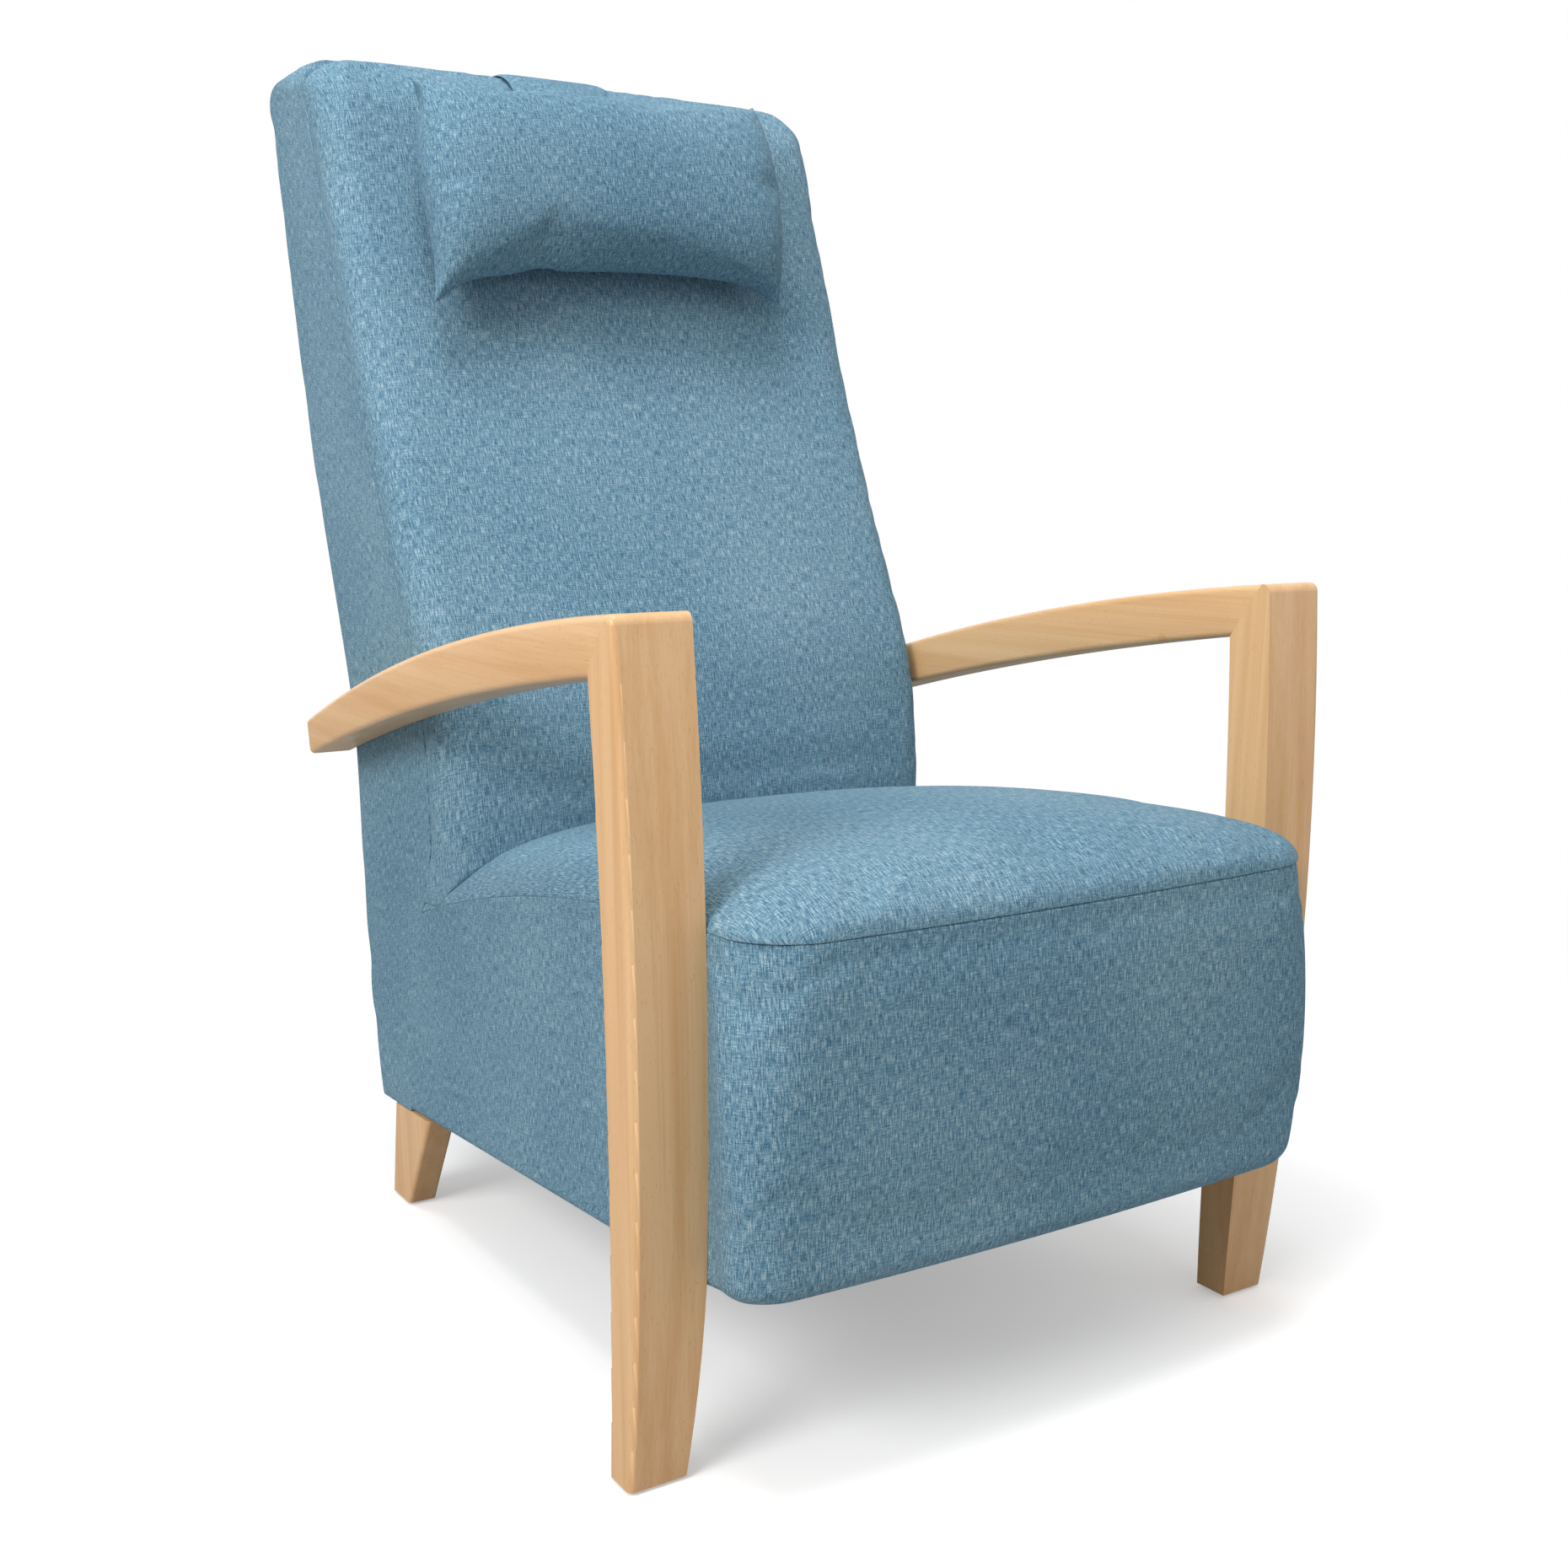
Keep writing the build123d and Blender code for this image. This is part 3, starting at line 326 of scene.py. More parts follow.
def walked(points, axis=0):
    """Distance walked along one axis of a grid of points, from 0 at its start."""
    lengths = np.cumsum(np.linalg.norm(np.diff(points, axis=axis), axis=-1), axis=axis)
    return np.concatenate([np.zeros_like(np.take(lengths, [0], axis)), lengths], axis=axis)


def resample(points, spacing):
    """The same line with evenly spaced points."""
    at = walked(points)
    wanted = np.linspace(0, at[-1], max(2, round(at[-1] / spacing) + 1))
    return np.stack([np.interp(wanted, at, points[:, k]) for k in range(points.shape[1])], axis=1)


def arc(centre, radius, turns):
    """Points of a side-view arc. Turn 0 is its top, and turns above 0 lie towards the front."""
    return [(centre[0] - radius * math.sin(t), centre[1] + radius * math.cos(t)) for t in turns]


def fading(value, full_to, reach):
    """1 as far as full_to, falling to 0 over the reach beyond it."""
    return np.clip(1 - (value - full_to) / reach, 0, 1)


def rounding(share):
    """How far a quarter round has dropped, at a share of its radius, as a share of it."""
    return 1 - np.sqrt(1 - share ** 2)


def arc_height(start, end, bow, y):
    """Height at y of the arc from start to end that swells by bow."""
    chord = math.hypot(end[0] - start[0], end[1] - start[1])
    radius = (chord ** 2 / 4 + bow ** 2) / (2 * bow)
    along = (end[0] - start[0]) / chord, (end[1] - start[1]) / chord
    middle = (start[0] + end[0]) / 2, (start[1] + end[1]) / 2
    centre = middle[0] - (bow - radius) * along[1], middle[1] + (bow - radius) * along[0]
    return centre[1] + np.sqrt(radius ** 2 - (y - centre[0]) ** 2)


def seam_height(y):
    return arc_height(SEAM_FRONT, SEAM_REAR, SEAM_BOW, y)


def belly_height(y):
    share = (y - BELLY_FRONT[0]) / (BELLY_REAR[0] - BELLY_FRONT[0])
    return BELLY_FRONT[1] + share * (BELLY_REAR[1] - BELLY_FRONT[1])


def block(name, counts, place, material):
    """Closed quad shell over the six sides of a block of lattice points.

    place(u, v, w) gives x, y and z for arrays of shares from 0 to 1. The map "cloth_m" unrolls
    the cloth in metres: across the piece, and along it.
    """
    nu, nv, nw = counts
    u, v, w = np.meshgrid(*[np.arange(n + 1) for n in counts], indexing="ij")
    shell = (u % nu == 0) | (v % nv == 0) | (w % nw == 0)
    index = -np.ones(shell.shape, int)
    index[shell] = np.arange(shell.sum())
    points = np.stack(place(u[shell] / nu, v[shell] / nv, w[shell] / nw), axis=-1)

    along = walked(points[index[nu // 2, :, 0]])
    across = [walked(points[index[:, :, k]]) for k in (0, nw)]
    deep = np.zeros(shell.shape)
    for edge in (np.s_[0, :], np.s_[nu, :], np.s_[:, 0], np.s_[:, nv]):
        deep[edge] = walked(points[index[edge]], axis=1)

    faces, cloth = [], []
    for axis, end in ((2, 0), (2, 1), (0, 0), (0, 1), (1, 0), (1, 1)):
        sheet = np.take(index, end * counts[axis], axis=axis)
        if (axis == 1) != (end == 1):
            sheet = sheet[::-1]
        i, j, k = (values[shell][sheet] for values in (u, v, w))
        width = across[end if axis == 2 else 0]
        s, t = width[i, j] - width[nu // 2][j], along[j]
        outward = deep[i, j, k] if end else -deep[i, j, k]
        if axis == 0:
            s = s + outward
        elif axis == 1:
            t = t + outward
        elif end:
            s = s + 2.0
        for grids, into in (((sheet[..., None],), faces), ((s[..., None], t[..., None]), cloth)):
            grid = np.concatenate(grids, axis=-1)
            corners = (grid[:-1, :-1], grid[1:, :-1], grid[1:, 1:], grid[:-1, 1:])
            into.append(np.stack(corners, axis=2).reshape(-1, 4, grid.shape[-1]))
    faces = np.concatenate(faces)[..., 0]
    return mesh_object(name, points, faces, material, np.concatenate(cloth))


def mesh_object(name, points, faces, material, cloth=None, smooth=True):
    """Object at the origin with the given points, faces and map, its faces turned outwards."""
    mesh = bpy.data.meshes.new(name)
    mesh.from_pydata(np.array(points).tolist(), [], np.array(faces).tolist())
    if cloth is not None:
        layer = mesh.uv_layers.new(name="cloth_m")
        layer.data.foreach_set("uv", np.ascontiguousarray(cloth, np.float32).reshape(-1))
    write_back(mesh, open_mesh(mesh))
    mesh.polygons.foreach_set("use_smooth", [smooth] * len(mesh.polygons))
    mesh.materials.append(material)
    return new_object(name, mesh)


def open_mesh(mesh):
    work = bmesh.new()
    work.from_mesh(mesh)
    return work


def write_back(mesh, work):
    """Turns the edited faces outwards and puts them into the mesh."""
    bmesh.ops.recalc_face_normals(work, faces=work.faces)
    work.to_mesh(mesh)
    work.free()


def new_object(name, data):
    made = bpy.data.objects.new(name, data)
    bpy.context.scene.collection.objects.link(made)
    return made


def points_of(piece):
    return np.array([p.co for p in piece.data.vertices])


def settle(piece, body, slot, *nodes, fill=None):
    """Stands the piece in for CAD nodes and gives it its body. Its finish slot and filling are
    not used.
    """
    if nodes:
        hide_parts(*nodes)
    if body:
        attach(piece, body)


def saw(work, point, outward):
    """Takes off what lies beyond a plane, and returns the open rim of the cut."""
    found = bmesh.ops.bisect_plane(
        work, geom=[*work.verts, *work.edges, *work.faces], plane_co=point, plane_no=outward,
        clear_outer=True,
    )
    return [part for part in found["geom_cut"] if isinstance(part, bmesh.types.BMEdge)]


def apply_modifiers(piece):
    """Puts the evaluated mesh in the piece's place and removes its modifiers."""
    bpy.context.view_layer.update()
    graph = bpy.context.evaluated_depsgraph_get()
    mesh = bpy.data.meshes.new_from_object(
        piece.evaluated_get(graph), preserve_all_data_layers=True, depsgraph=graph
    )
    piece.modifiers.clear()
    piece.data = mesh
    return piece


def puff(piece, held, pressure, most, half=BODY_HALF, shrink=-0.01, frames=16, stiffness=18.0):
    """Blows the piece up as cloth, its held points pinned, and keeps each move under a cap.

    Beyond half from the middle plane, arms and posts press on the cloth.
    """
    rest = points_of(piece)
    pin = piece.vertex_groups.new(name="held")
    held = np.round(held, 2)
    for weight in sorted(set(held)):
        pin.add([int(i) for i in np.flatnonzero(held == weight)], float(weight), "REPLACE")
    cloth = piece.modifiers.new("cloth", "CLOTH")
    settings = cloth.settings
    settings.quality = 5
    settings.mass = 0.3
    settings.tension_stiffness = settings.compression_stiffness = stiffness
    settings.shear_stiffness = stiffness * 0.6
    settings.bending_stiffness = 1.5
    settings.use_pressure = True
    settings.uniform_pressure_force = pressure
    settings.shrink_min = shrink
    settings.vertex_group_mass = "held"
    settings.pin_stiffness = 2.0
    settings.effector_weights.gravity = 0.0
    cloth.collision_settings.use_collision = False
    cloth.collision_settings.use_self_collision = False
    cloth.point_cache.frame_start = 1
    cloth.point_cache.frame_end = frames
    scene = bpy.context.scene
    scene.frame_start, scene.frame_end = 1, frames
    for number in range(1, frames + 1):
        scene.frame_set(number)
    moved = points_of(piece.evaluated_get(bpy.context.evaluated_depsgraph_get()))
    piece.modifiers.clear()
    piece.vertex_groups.clear()
    scene.frame_set(1)
    shift = moved - rest
    length = np.linalg.norm(shift, axis=1, keepdims=True)
    shift *= most * np.tanh(length / most) / np.maximum(length, 1e-9)
    moved = rest + shift
    moved[:, 0] = np.clip(moved[:, 0], -half, half)
    move_points(piece, moved)


def move_points(piece, points):
    piece.data.vertices.foreach_set("co", points.reshape(-1))
    piece.data.update()


def subdivide(piece):
    modifier = piece.modifiers.new("subdivision", "SUBSURF")
    modifier.levels = modifier.render_levels = 1
    modifier.uv_smooth = "NONE"
    return apply_modifiers(piece)


def y_at(line, z):
    """Place from front to rear of a rising side-view line at height z."""
    return np.interp(z, line[:, 1], line[:, 0])


def line_normals(line):
    """Unit normals of a side-view line that runs upwards, pointing to the front."""
    run = np.gradient(line, axis=0)
    run /= np.linalg.norm(run, axis=1, keepdims=True)
    return np.stack([-run[:, 1], run[:, 0]], axis=1)


def between(a, b, share):
    """From a at share 0 to b at share 1."""
    return a * (1 - share) + b * share


def look_up(table, share):
    """Row of the table at each share, between its rows in proportion."""
    place = np.asarray(share) * (len(table) - 1)
    low = np.clip(np.floor(place).astype(int), 0, len(table) - 2)
    return between(table[low], table[low + 1], (place - low)[:, None])


def edge_turn(share, zone):
    """(place, angle) of columns: place -1..1 up to the edge's roll, angle 0..90 degrees on it."""
    side = np.abs(share * 2 - 1)
    angle = np.clip((side - (1 - zone)) / zone, 0, 1) * math.pi / 2
    place = np.minimum(side / (1 - zone), 1)
    return np.sign(share - 0.5) * place, angle


def rolled(side, radius, angle):
    """Place across of a face that ends in a roll of the given radius at both sides."""
    return side * (BODY_HALF - radius) + np.sign(side) * radius * np.sin(angle)


def drawn_in(x, inset):
    """Moves the sides in by the inset, and the middle not at all."""
    return np.sign(x) * np.maximum(np.abs(x) - inset * np.abs(x / BODY_HALF) ** 3, 0)


def empty_tree(owner):
    owner.use_nodes = True
    owner.node_tree.nodes.clear()
    return owner.node_tree


def light_node(tree, kind, text="#ffffff", **values):
    """A node that shines or scatters in one colour."""
    return add_node(tree, f"ShaderNode{kind}", {"Color": colour(text), **values})[0]


def mix_shader(tree, share, a, b):
    return add_node(tree, "ShaderNodeMixShader", {0: share, 1: a, 2: b})[0]


class CHAIR_OT_stage(bpy.types.Operator):
    """Floor, lamps, white surroundings and the camera of the photograph"""

    bl_idname = "chair.stage"
    bl_label = "Stage"

    def execute(self, context):
        scene = context.scene
        settings = scene.chair_stage
        lens = bpy.data.cameras.new("camera")
        lens.sensor_width = 36
        lens.lens = settings.lens_mm
        lens.shift_x, lens.shift_y = CAMERA_SHIFT
        lens.clip_start, lens.clip_end = 0.05, 60
        camera = new_object("camera", lens)
        yaw, pitch, roll = (math.radians(angle) for angle in CAMERA_TURN)
        level = Euler((math.pi / 2 - pitch, 0, -yaw)).to_matrix().to_4x4()
        turn = level @ Matrix.Rotation(roll, 4, "Z")
        camera.matrix_world = Matrix.Translation(CAMERA_PLACE) @ turn
        scene.camera = camera

        for name, place, size, watts in (
            ("key", (-3.0, -1.2, 2.5), 1.7, settings.key_watts),
            ("fill", (2.4, -2.8, 1.6), 2.6, settings.fill_watts),
            ("top", (-0.5, -0.5, 3.3), 1.1, settings.top_watts),
        ):
            light = bpy.data.lights.new(name, "AREA")
            light.shape = "DISK"
            light.size = size
            light.energy = watts
            lamp = new_object(name, light)
            lamp.location = place
            aim = Vector((0, 0, 0.5)) - Vector(place)
            lamp.rotation_euler = aim.to_track_quat("-Z", "Y").to_euler()

        scene.world = bpy.data.worlds.new("surroundings")
        tree = empty_tree(scene.world)
        path = add_node(tree, "ShaderNodeLightPath")
        seen = maths(tree, "MAXIMUM", path["Is Camera Ray"], path["Is Transmission Ray"])
        seen = maths(tree, "MAXIMUM", seen, path["Is Glossy Ray"])
        # The surroundings light the chair at under half the white that is seen of them
        soft = light_node(tree, "Background", Strength=0.46)
        white = light_node(tree, "Background", Strength=1.0)
        both = mix_shader(tree, seen, soft, white)
        add_node(tree, "ShaderNodeOutputWorld", {"Surface": both}, is_active_output=True)

        # Floor: matt white paper that carries the shadow and fades to the white surroundings
        material = bpy.data.materials.new("matt white paper")
        tree = empty_tree(material)
        camera_ray = add_node(tree, "ShaderNodeLightPath")["Is Camera Ray"]
        paper = light_node(tree, "BsdfDiffuse", "#f4f4f4")
        glow = light_node(tree, "Emission", Strength=0.34)
        white = light_node(tree, "Emission", Strength=1.0)
        # What it throws back on the chair is kept down, or the upright faces come out too pale
        dim = light_node(tree, "BsdfDiffuse", "#b2b2b2")
        lit = add_node(tree, "ShaderNodeAddShader", {0: paper, 1: glow})[0]
        away = add_node(tree, "ShaderNodeVectorMath", {0: object_place(tree)}, operation="LENGTH")
        fade = map_range(tree, away["Value"], 0.75, 1.9, interpolation_type="SMOOTHSTEP")
        seen = maths(tree, "MULTIPLY", fade, camera_ray)
        both = mix_shader(tree, camera_ray, dim, mix_shader(tree, seen, lit, white))
        add_node(tree, "ShaderNodeOutputMaterial", {"Surface": both}, is_active_output=True)
        reach = 14.0
        corners = [(x * reach, y * reach, 0) for x, y in ((-1, -1), (1, -1), (1, 1), (-1, 1))]
        floor = mesh_object("floor", corners, [(0, 1, 2, 3)], material, smooth=False)
        scene.view_settings.view_transform = "Standard"
        return {"FINISHED"}


class CHAIR_OT_beech_frame(bpy.types.Operator):
    """Lacquer on the posts and rear legs, and the arms with their rounded edges"""

    bl_idname = "chair.beech_frame"
    bl_label = "Beech frame"

    def execute(self, context):
        beech = context.scene.chair_beech
        for side, upright_shift, lying_shift, plug in (
            ("left", 3.1, 8.3, (-0.330, -0.2735, 0.5786)),
            ("right", 17.9, 29.2, (0.270, -0.2536, 0.5847)),
        ):
            upright = lacquered_beech(
                f"lacquered beech, upright, {side}", beech, (1.8, 1.8, 260.0), upright_shift
            )
            lying = lacquered_beech(
                f"lacquered beech, lying, {side}", beech, (1.8, 260.0, 1.8), lying_shift, plug
            )
            for node in (f"front_post_{side}", f"rear_leg_{side}"):
                NODES[node].data.materials[0] = upright
            settle(arm_piece(side, lying), "chair", "wood", f"armrest_{side}")
        return {"FINISHED"}


def arm_piece(side, material):
    """Arm with quarter-round edges, arched in side view, tapered in plan, cut at the mitre."""
    mitre_low, mitre_high = (-0.331, 0.5925), (-0.361, 0.636)
    tip_top, tip_low = (0.3205, 0.497), (0.316, 0.463)
    top_bow, under_bow = 0.021, 0.013
    front_width, taper, run = 0.060, 0.016, 0.686
    radius, facets = 0.005, 5
    ring = 4 * (facets + 1)
    points = []
    for y in np.linspace(-0.385, 0.325, 60):
        top = arc_height(mitre_high, tip_top, top_bow, y)
        under = arc_height(mitre_low, tip_low, under_bow, y)
        width = front_width - taper * (y - mitre_high[0]) / run
        for quarter, (sx, sz) in enumerate([(1, 1), (-1, 1), (-1, -1), (1, -1)]):
            for facet in range(facets + 1):
                turn = math.pi / 2 * (quarter + facet / facets)
                across = sx * (width / 2 - radius) + radius * math.cos(turn)
                up = sz * ((top - under) / 2 - radius) + radius * math.sin(turn)
                points.append((INNER_FACE + width / 2 + across, y, (top + under) / 2 + up))
    faces = [
        (s + c, s + d, s + ring + d, s + ring + c)
        for s in range(0, len(points) - ring, ring)
        for c, d in zip(range(ring), (*range(1, ring), 0))
    ]
    faces += [tuple(range(ring)), tuple(range(len(points) - ring, len(points)))]
    mesh = bpy.data.meshes.new("arm")
    mesh.from_pydata(points, [], faces)
    work = open_mesh(mesh)
    for low, high, way in ((mitre_low, mitre_high, -1), (tip_low, tip_top, 1)):
        outward = Vector((0, high[1] - low[1], low[0] - high[0])).normalized() * way
        rim = saw(work, Vector((0, *low)), outward)
        bmesh.ops.edgeloop_fill(work, edges=rim)
    # Only the end behind, beside the back, has its edge rounded
    bmesh.ops.bevel(
        work, geom=rim, offset=0.0034, segments=4, profile=0.5, affect="EDGES",
        clamp_overlap=False,
    )
    bmesh.ops.remove_doubles(work, verts=work.verts, dist=1e-6)
    bmesh.ops.recalc_face_normals(work, faces=work.faces)
    if side == "left":
        bmesh.ops.scale(work, vec=(-1, 1, 1), verts=work.verts)
        bmesh.ops.reverse_faces(work, faces=work.faces)
    write_back(mesh, work)
    mesh.materials.append(material)
    mesh.polygons.foreach_set("use_smooth", [True] * len(mesh.polygons))
    mesh.set_sharp_from_angle(angle=math.radians(32))
    return new_object(f"arm_{side}", mesh)


class CHAIR_OT_seat(bpy.types.Operator):
    """Crowned seat pad, and the cover of the seat box below its seam"""

    bl_idname = "chair.seat"
    bl_label = "Seat"

    def execute(self, context):
        upholstery = context.scene.chair_upholstery
        cover = woven_cover("melange cover, seat", upholstery)
        settle(seat_pad(upholstery, cover), "chair", "upholstery", "seat_cushion", fill=0.8)
        settle(
            seat_box(cover), "chair", "upholstery",
            "seat_front_panel", "seat_side_panel_left", "seat_side_panel_right", fill=0.9,
        )
        return {"FINISHED"}


# Plan radius of the seat's front corners at the seam and at the belly, and how fast the filling
# sharpens it between them; bow of the front, and where the posts begin
SEAM_CORNER, BELLY_CORNER, FILLING = 0.056, 0.034, 0.062
FRONT_BOW, POST_FRONT = 0.010, -0.386
# Share of the seat's crown that is reached, over the root of the distance from its front
CROWN_RISE = np.array([
    (0, 0), (0.05, 0.25), (0.1, 0.41), (0.145, 0.54), (0.21, 0.68), (0.295, 0.80), (0.409, 0.92),
    (0.534, 1.0), (0.65, 1.06), (0.79, 1.2),
])


def before_posts(y):
    """1 from 30 mm in front of the posts, falling to 0 at their front faces."""
    return fading(y, POST_FRONT - 0.030, 0.030)


def seat_top(upholstery, side, y):
    """Height of the seat pad at side -1..1 and y: steep from its seam, then crowned."""
    from_front = np.sqrt(np.maximum(y - SEAM_FRONT[0], 0))
    swell = np.interp(from_front, CROWN_RISE[:, 0], CROWN_RISE[:, 1])
    fuller = fading(y, SEAM_FRONT[0], 0.14) ** 2
    across = np.maximum(1 - np.abs(side) ** (2.3 + 2.4 * fuller), 0) ** 0.5
    return seam_height(y) + 0.0008 + upholstery.seat_crown * swell * across


def seat_pad(upholstery, material):
    """Pad whose cloth rises steeply from the seam and crowns to the middle."""
    front, rear = SEAM_FRONT[0], SEAM_REAR[0]

    def place(u, v, w):
        side = np.sin((u * 2 - 1) * math.pi / 2)
        y = front + (rear - front) * v ** 1.7
        short = np.clip((front + SEAM_CORNER - y) / SEAM_CORNER, 0, 1)
        x = side * (PAD_HALF - SEAM_CORNER * rounding(short))
        top, low = seat_top(upholstery, side, y), seam_height(y)
        y = y + FRONT_BOW * (x / BODY_HALF) ** 2 * np.clip(1 - v ** 1.7 * 6, 0, 1) ** 2
        return x, y, between(top, low, w)

    pad = block("seat_pad", (72, 64, 1), place, material)
    co = points_of(pad)
    held = fading(co[:, 2] - seam_height(co[:, 1]), 0.003, 0.012)
    puff(pad, held, pressure=2.2, most=0.004)
    return subdivide(pad)


def seat_box(material):
    """Cover of the seat box: front and sides below the seam, closed behind and below."""
    slab = rounded_path(SLAB_LINE)
    rows = np.linspace(0, 1, 60)
    # Where the box meets the back: a few rounds settle the height and the place together
    rear_at = np.full(60, 0.18)
    for _ in range(12):
        floor = belly_height(rear_at)
        z = floor + (seam_height(np.minimum(rear_at, 0.21)) - floor) * rows
        rear_at = y_at(slab, z)

    def place(u, v, w):
        side, angle = edge_turn(u, 0.24)
        height = 0.35 * v + 0.65 * (0.5 - 0.5 * np.cos(v * math.pi))
        # The filled front corners are tucked in at the seam and fullest half-way down
        fuller = SEAM_CORNER - BELLY_CORNER + FILLING
        corner = BELLY_CORNER - FILLING * height + fuller * height ** 2
        x = rolled(side, corner, angle)
        front = SEAM_FRONT[0] + FRONT_BOW * (x / BODY_HALF) ** 2 + corner * (1 - np.cos(angle))
        rear = np.interp(height, rows, rear_at) + 0.0015
        y = front + (rear - front) * w ** 1.2
        low, high = belly_height(y), seam_height(y) - 0.0001
        z = low + (high - low) * height
        near = fading(w, 0, 1 / 8)
        low_round = 0.008 + 0.013 * near
        pull = low_round * rounding(fading(z, low, low_round))
        pull = pull + 0.0003 * rounding(fading(high, z, 0.002))
        x = x - np.sign(x) * pull * np.sin(angle)
        y = y + pull * np.where(w < 0.5, np.cos(angle), 0) * near ** 0.5
        # In front of the posts nothing holds the cloth in
        ahead = before_posts(y)
        full = (1 - np.abs((height - 0.4) / 0.6) ** 2.5) * ahead ** 2 * (3 - 2 * ahead)
        x = x + np.sign(x) * 0.008 * full * np.sin(angle) ** 2
        return x, y, z

    box = block("seat_cover", (64, 44, 60), place, material)
    co = points_of(box)
    below_seam = seam_height(co[:, 1]) - co[:, 2]
    over_belly = co[:, 2] - belly_height(co[:, 1])
    held = fading(np.minimum(below_seam, over_belly / 3), 0.004, 0.02)
    held = np.maximum(held, np.clip((co[:, 1] - 0.08) / 0.05, 0, 1))
    half = BODY_HALF + 0.014 * before_posts(co[:, 1])
    puff(box, held, pressure=1.6, most=0.004, half=half)
    return subdivide(box)


class CHAIR_OT_back(bpy.types.Operator):
    """Crowned front of the back, and the cover of its sides, top and rear"""

    bl_idname = "chair.back"
    bl_label = "Back"

    def execute(self, context):
        upholstery = context.scene.chair_upholstery
        cover = woven_cover("melange cover, back", upholstery)
        settle(back_pad(upholstery, cover), "chair", "upholstery", "back_cushion", fill=0.8)
        settle(
            back_cover(cover), "chair", "upholstery", "back_rear_panel", "back_top_panel",
            "back_side_panel_left", "back_side_panel_right", fill=0.9,
        )
        return {"FINISHED"}


# Radius of the back's top corners, and height of the pad's foot under the seat's crown
TOP_CORNER, BACK_FOOT = 0.030, 0.3400


def corner_inset(z, radius=TOP_CORNER):
    """How far the back's rounded top corners draw its sides in at height z."""
    return radius * rounding(np.clip((z - (BACK_TOP - radius)) / radius, 0, 1))


def back_pad(upholstery, material):
    """Front pad of the back: crowned across, rolled in at its sides and over the crest."""
    roll, rest_height = upholstery.edge_roll, 0.50
    body = rounded_path([(FRONT_LINE[0][0], BACK_FOOT, 0), *FRONT_LINE[1:]])
    lean = math.atan2(body[-1][0] - body[-2][0], body[-1][1] - body[-2][1])
    crest = arc(CREST_CENTRE, CREST_RADIUS, np.linspace(math.pi / 2 - lean, 0, 24)[1:])
    front = resample(np.concatenate([body, crest]), LINE_STEP)
    slab = rounded_path([(SEAM_REAR[0], BACK_FOOT, 0), *SLAB_LINE[2:]])
    normals = line_normals(front)

    def place(u, v, w):
        share = 1 - (1 - v) ** 1.3
        side, angle = edge_turn(u, 0.20)
        x = rolled(side, roll, angle)
        drawn = roll * (1 - np.cos(angle))
        face, normal = look_up(front, share), look_up(normals, share)
        face[:, 0] -= upholstery.back_crown * (1 - np.abs(x / BODY_HALF) ** 2.2)
        face = face + normal * -drawn[:, None]
        behind = look_up(slab, share)
        behind[:, 0] -= 0.0003
        face[:, 0] = np.minimum(face[:, 0], behind[:, 0] - 0.0012)
        y, z = between(face, behind, w[:, None]).T
        # The pad's foot lies on the crowned seat
        foot = seat_top(upholstery, x / BODY_HALF, np.minimum(y, SEAM_REAR[0])) - 0.004
        foot = rest_height - np.maximum(foot, BACK_FOOT)
        z = np.where(
            z < rest_height, rest_height - (rest_height - z) * foot / (rest_height - BACK_FOOT), z
        )
        x = between(x, np.clip(x, -PAD_HALF, PAD_HALF), w)
        return drawn_in(x, corner_inset(z)), y, z

    pad = block("back_pad", (64, 104, 5), place, material)
    co = points_of(pad)
    held = fading(y_at(slab, co[:, 2]) - co[:, 1], 0.006, 0.018)
    held = np.maximum(held, fading(co[:, 2], 0.40, 0.05))
    puff(pad, held, pressure=1.6, most=0.003)
    return subdivide(pad)


def back_cover(material):
    """Cover over the back's sides, top and rear, down to the belly."""
    roll, lip = 0.013, 0.0012
    slab = rounded_path(SLAB_LINE)
    body = rounded_path(REAR_LINE)
    bend = arc(BEND_CENTRE, BEND_RADIUS, np.linspace(-math.pi / 2, 0, 14)[1:])
    rear = resample(np.concatenate([body, bend]), LINE_STEP)
    normals = line_normals(rear)

    def place(u, v, w):
        share = 1 - (1 - v) ** 1.3
        side, angle = edge_turn(u, 0.14)
        drawn = roll * (1 - np.cos(angle))
        behind = look_up(rear, share) + look_up(normals, share) * drawn[:, None]
        face = look_up(slab, share)
        face[:, 0] += 0.0003 + lip * (1 - np.cos(angle))
        y, z = between(face, behind, w[:, None]).T
        x = between(rolled(side, lip, angle), rolled(side, roll, angle), w)
        # Below the seat's seam the seat cover laps over this one
        x = x - np.sign(x) * 0.0008 * np.clip((0.36 - z) / 0.02, 0, 1)
        inset = corner_inset(z, TOP_CORNER - 0.010 * w)
        return drawn_in(x, inset), y, z

    cover = block("back_cover", (52, 116, 20), place, material)
    co = points_of(cover)
    held = fading(co[:, 1] - y_at(slab, co[:, 2]), 0.004, 0.02)
    held = np.maximum(held, fading(co[:, 2] - belly_height(co[:, 1]), 0, 0.03))
    puff(cover, held, pressure=1.2, most=0.003)
    return subdivide(cover)


class CHAIR_OT_neck_pillow(bpy.types.Operator):
    """Neck pillow, blown up from two sewn layers of cloth"""

    bl_idname = "chair.neck_pillow"
    bl_label = "Neck pillow"

    def execute(self, context):
        upholstery = context.scene.chair_upholstery
        cover = woven_cover("melange cover, pillow", upholstery, shade=0.012)
        settle(neck_pillow(cover), "pillow", "pillow_cloth", "neck_pillow", fill=0.75)
        return {"FINISHED"}


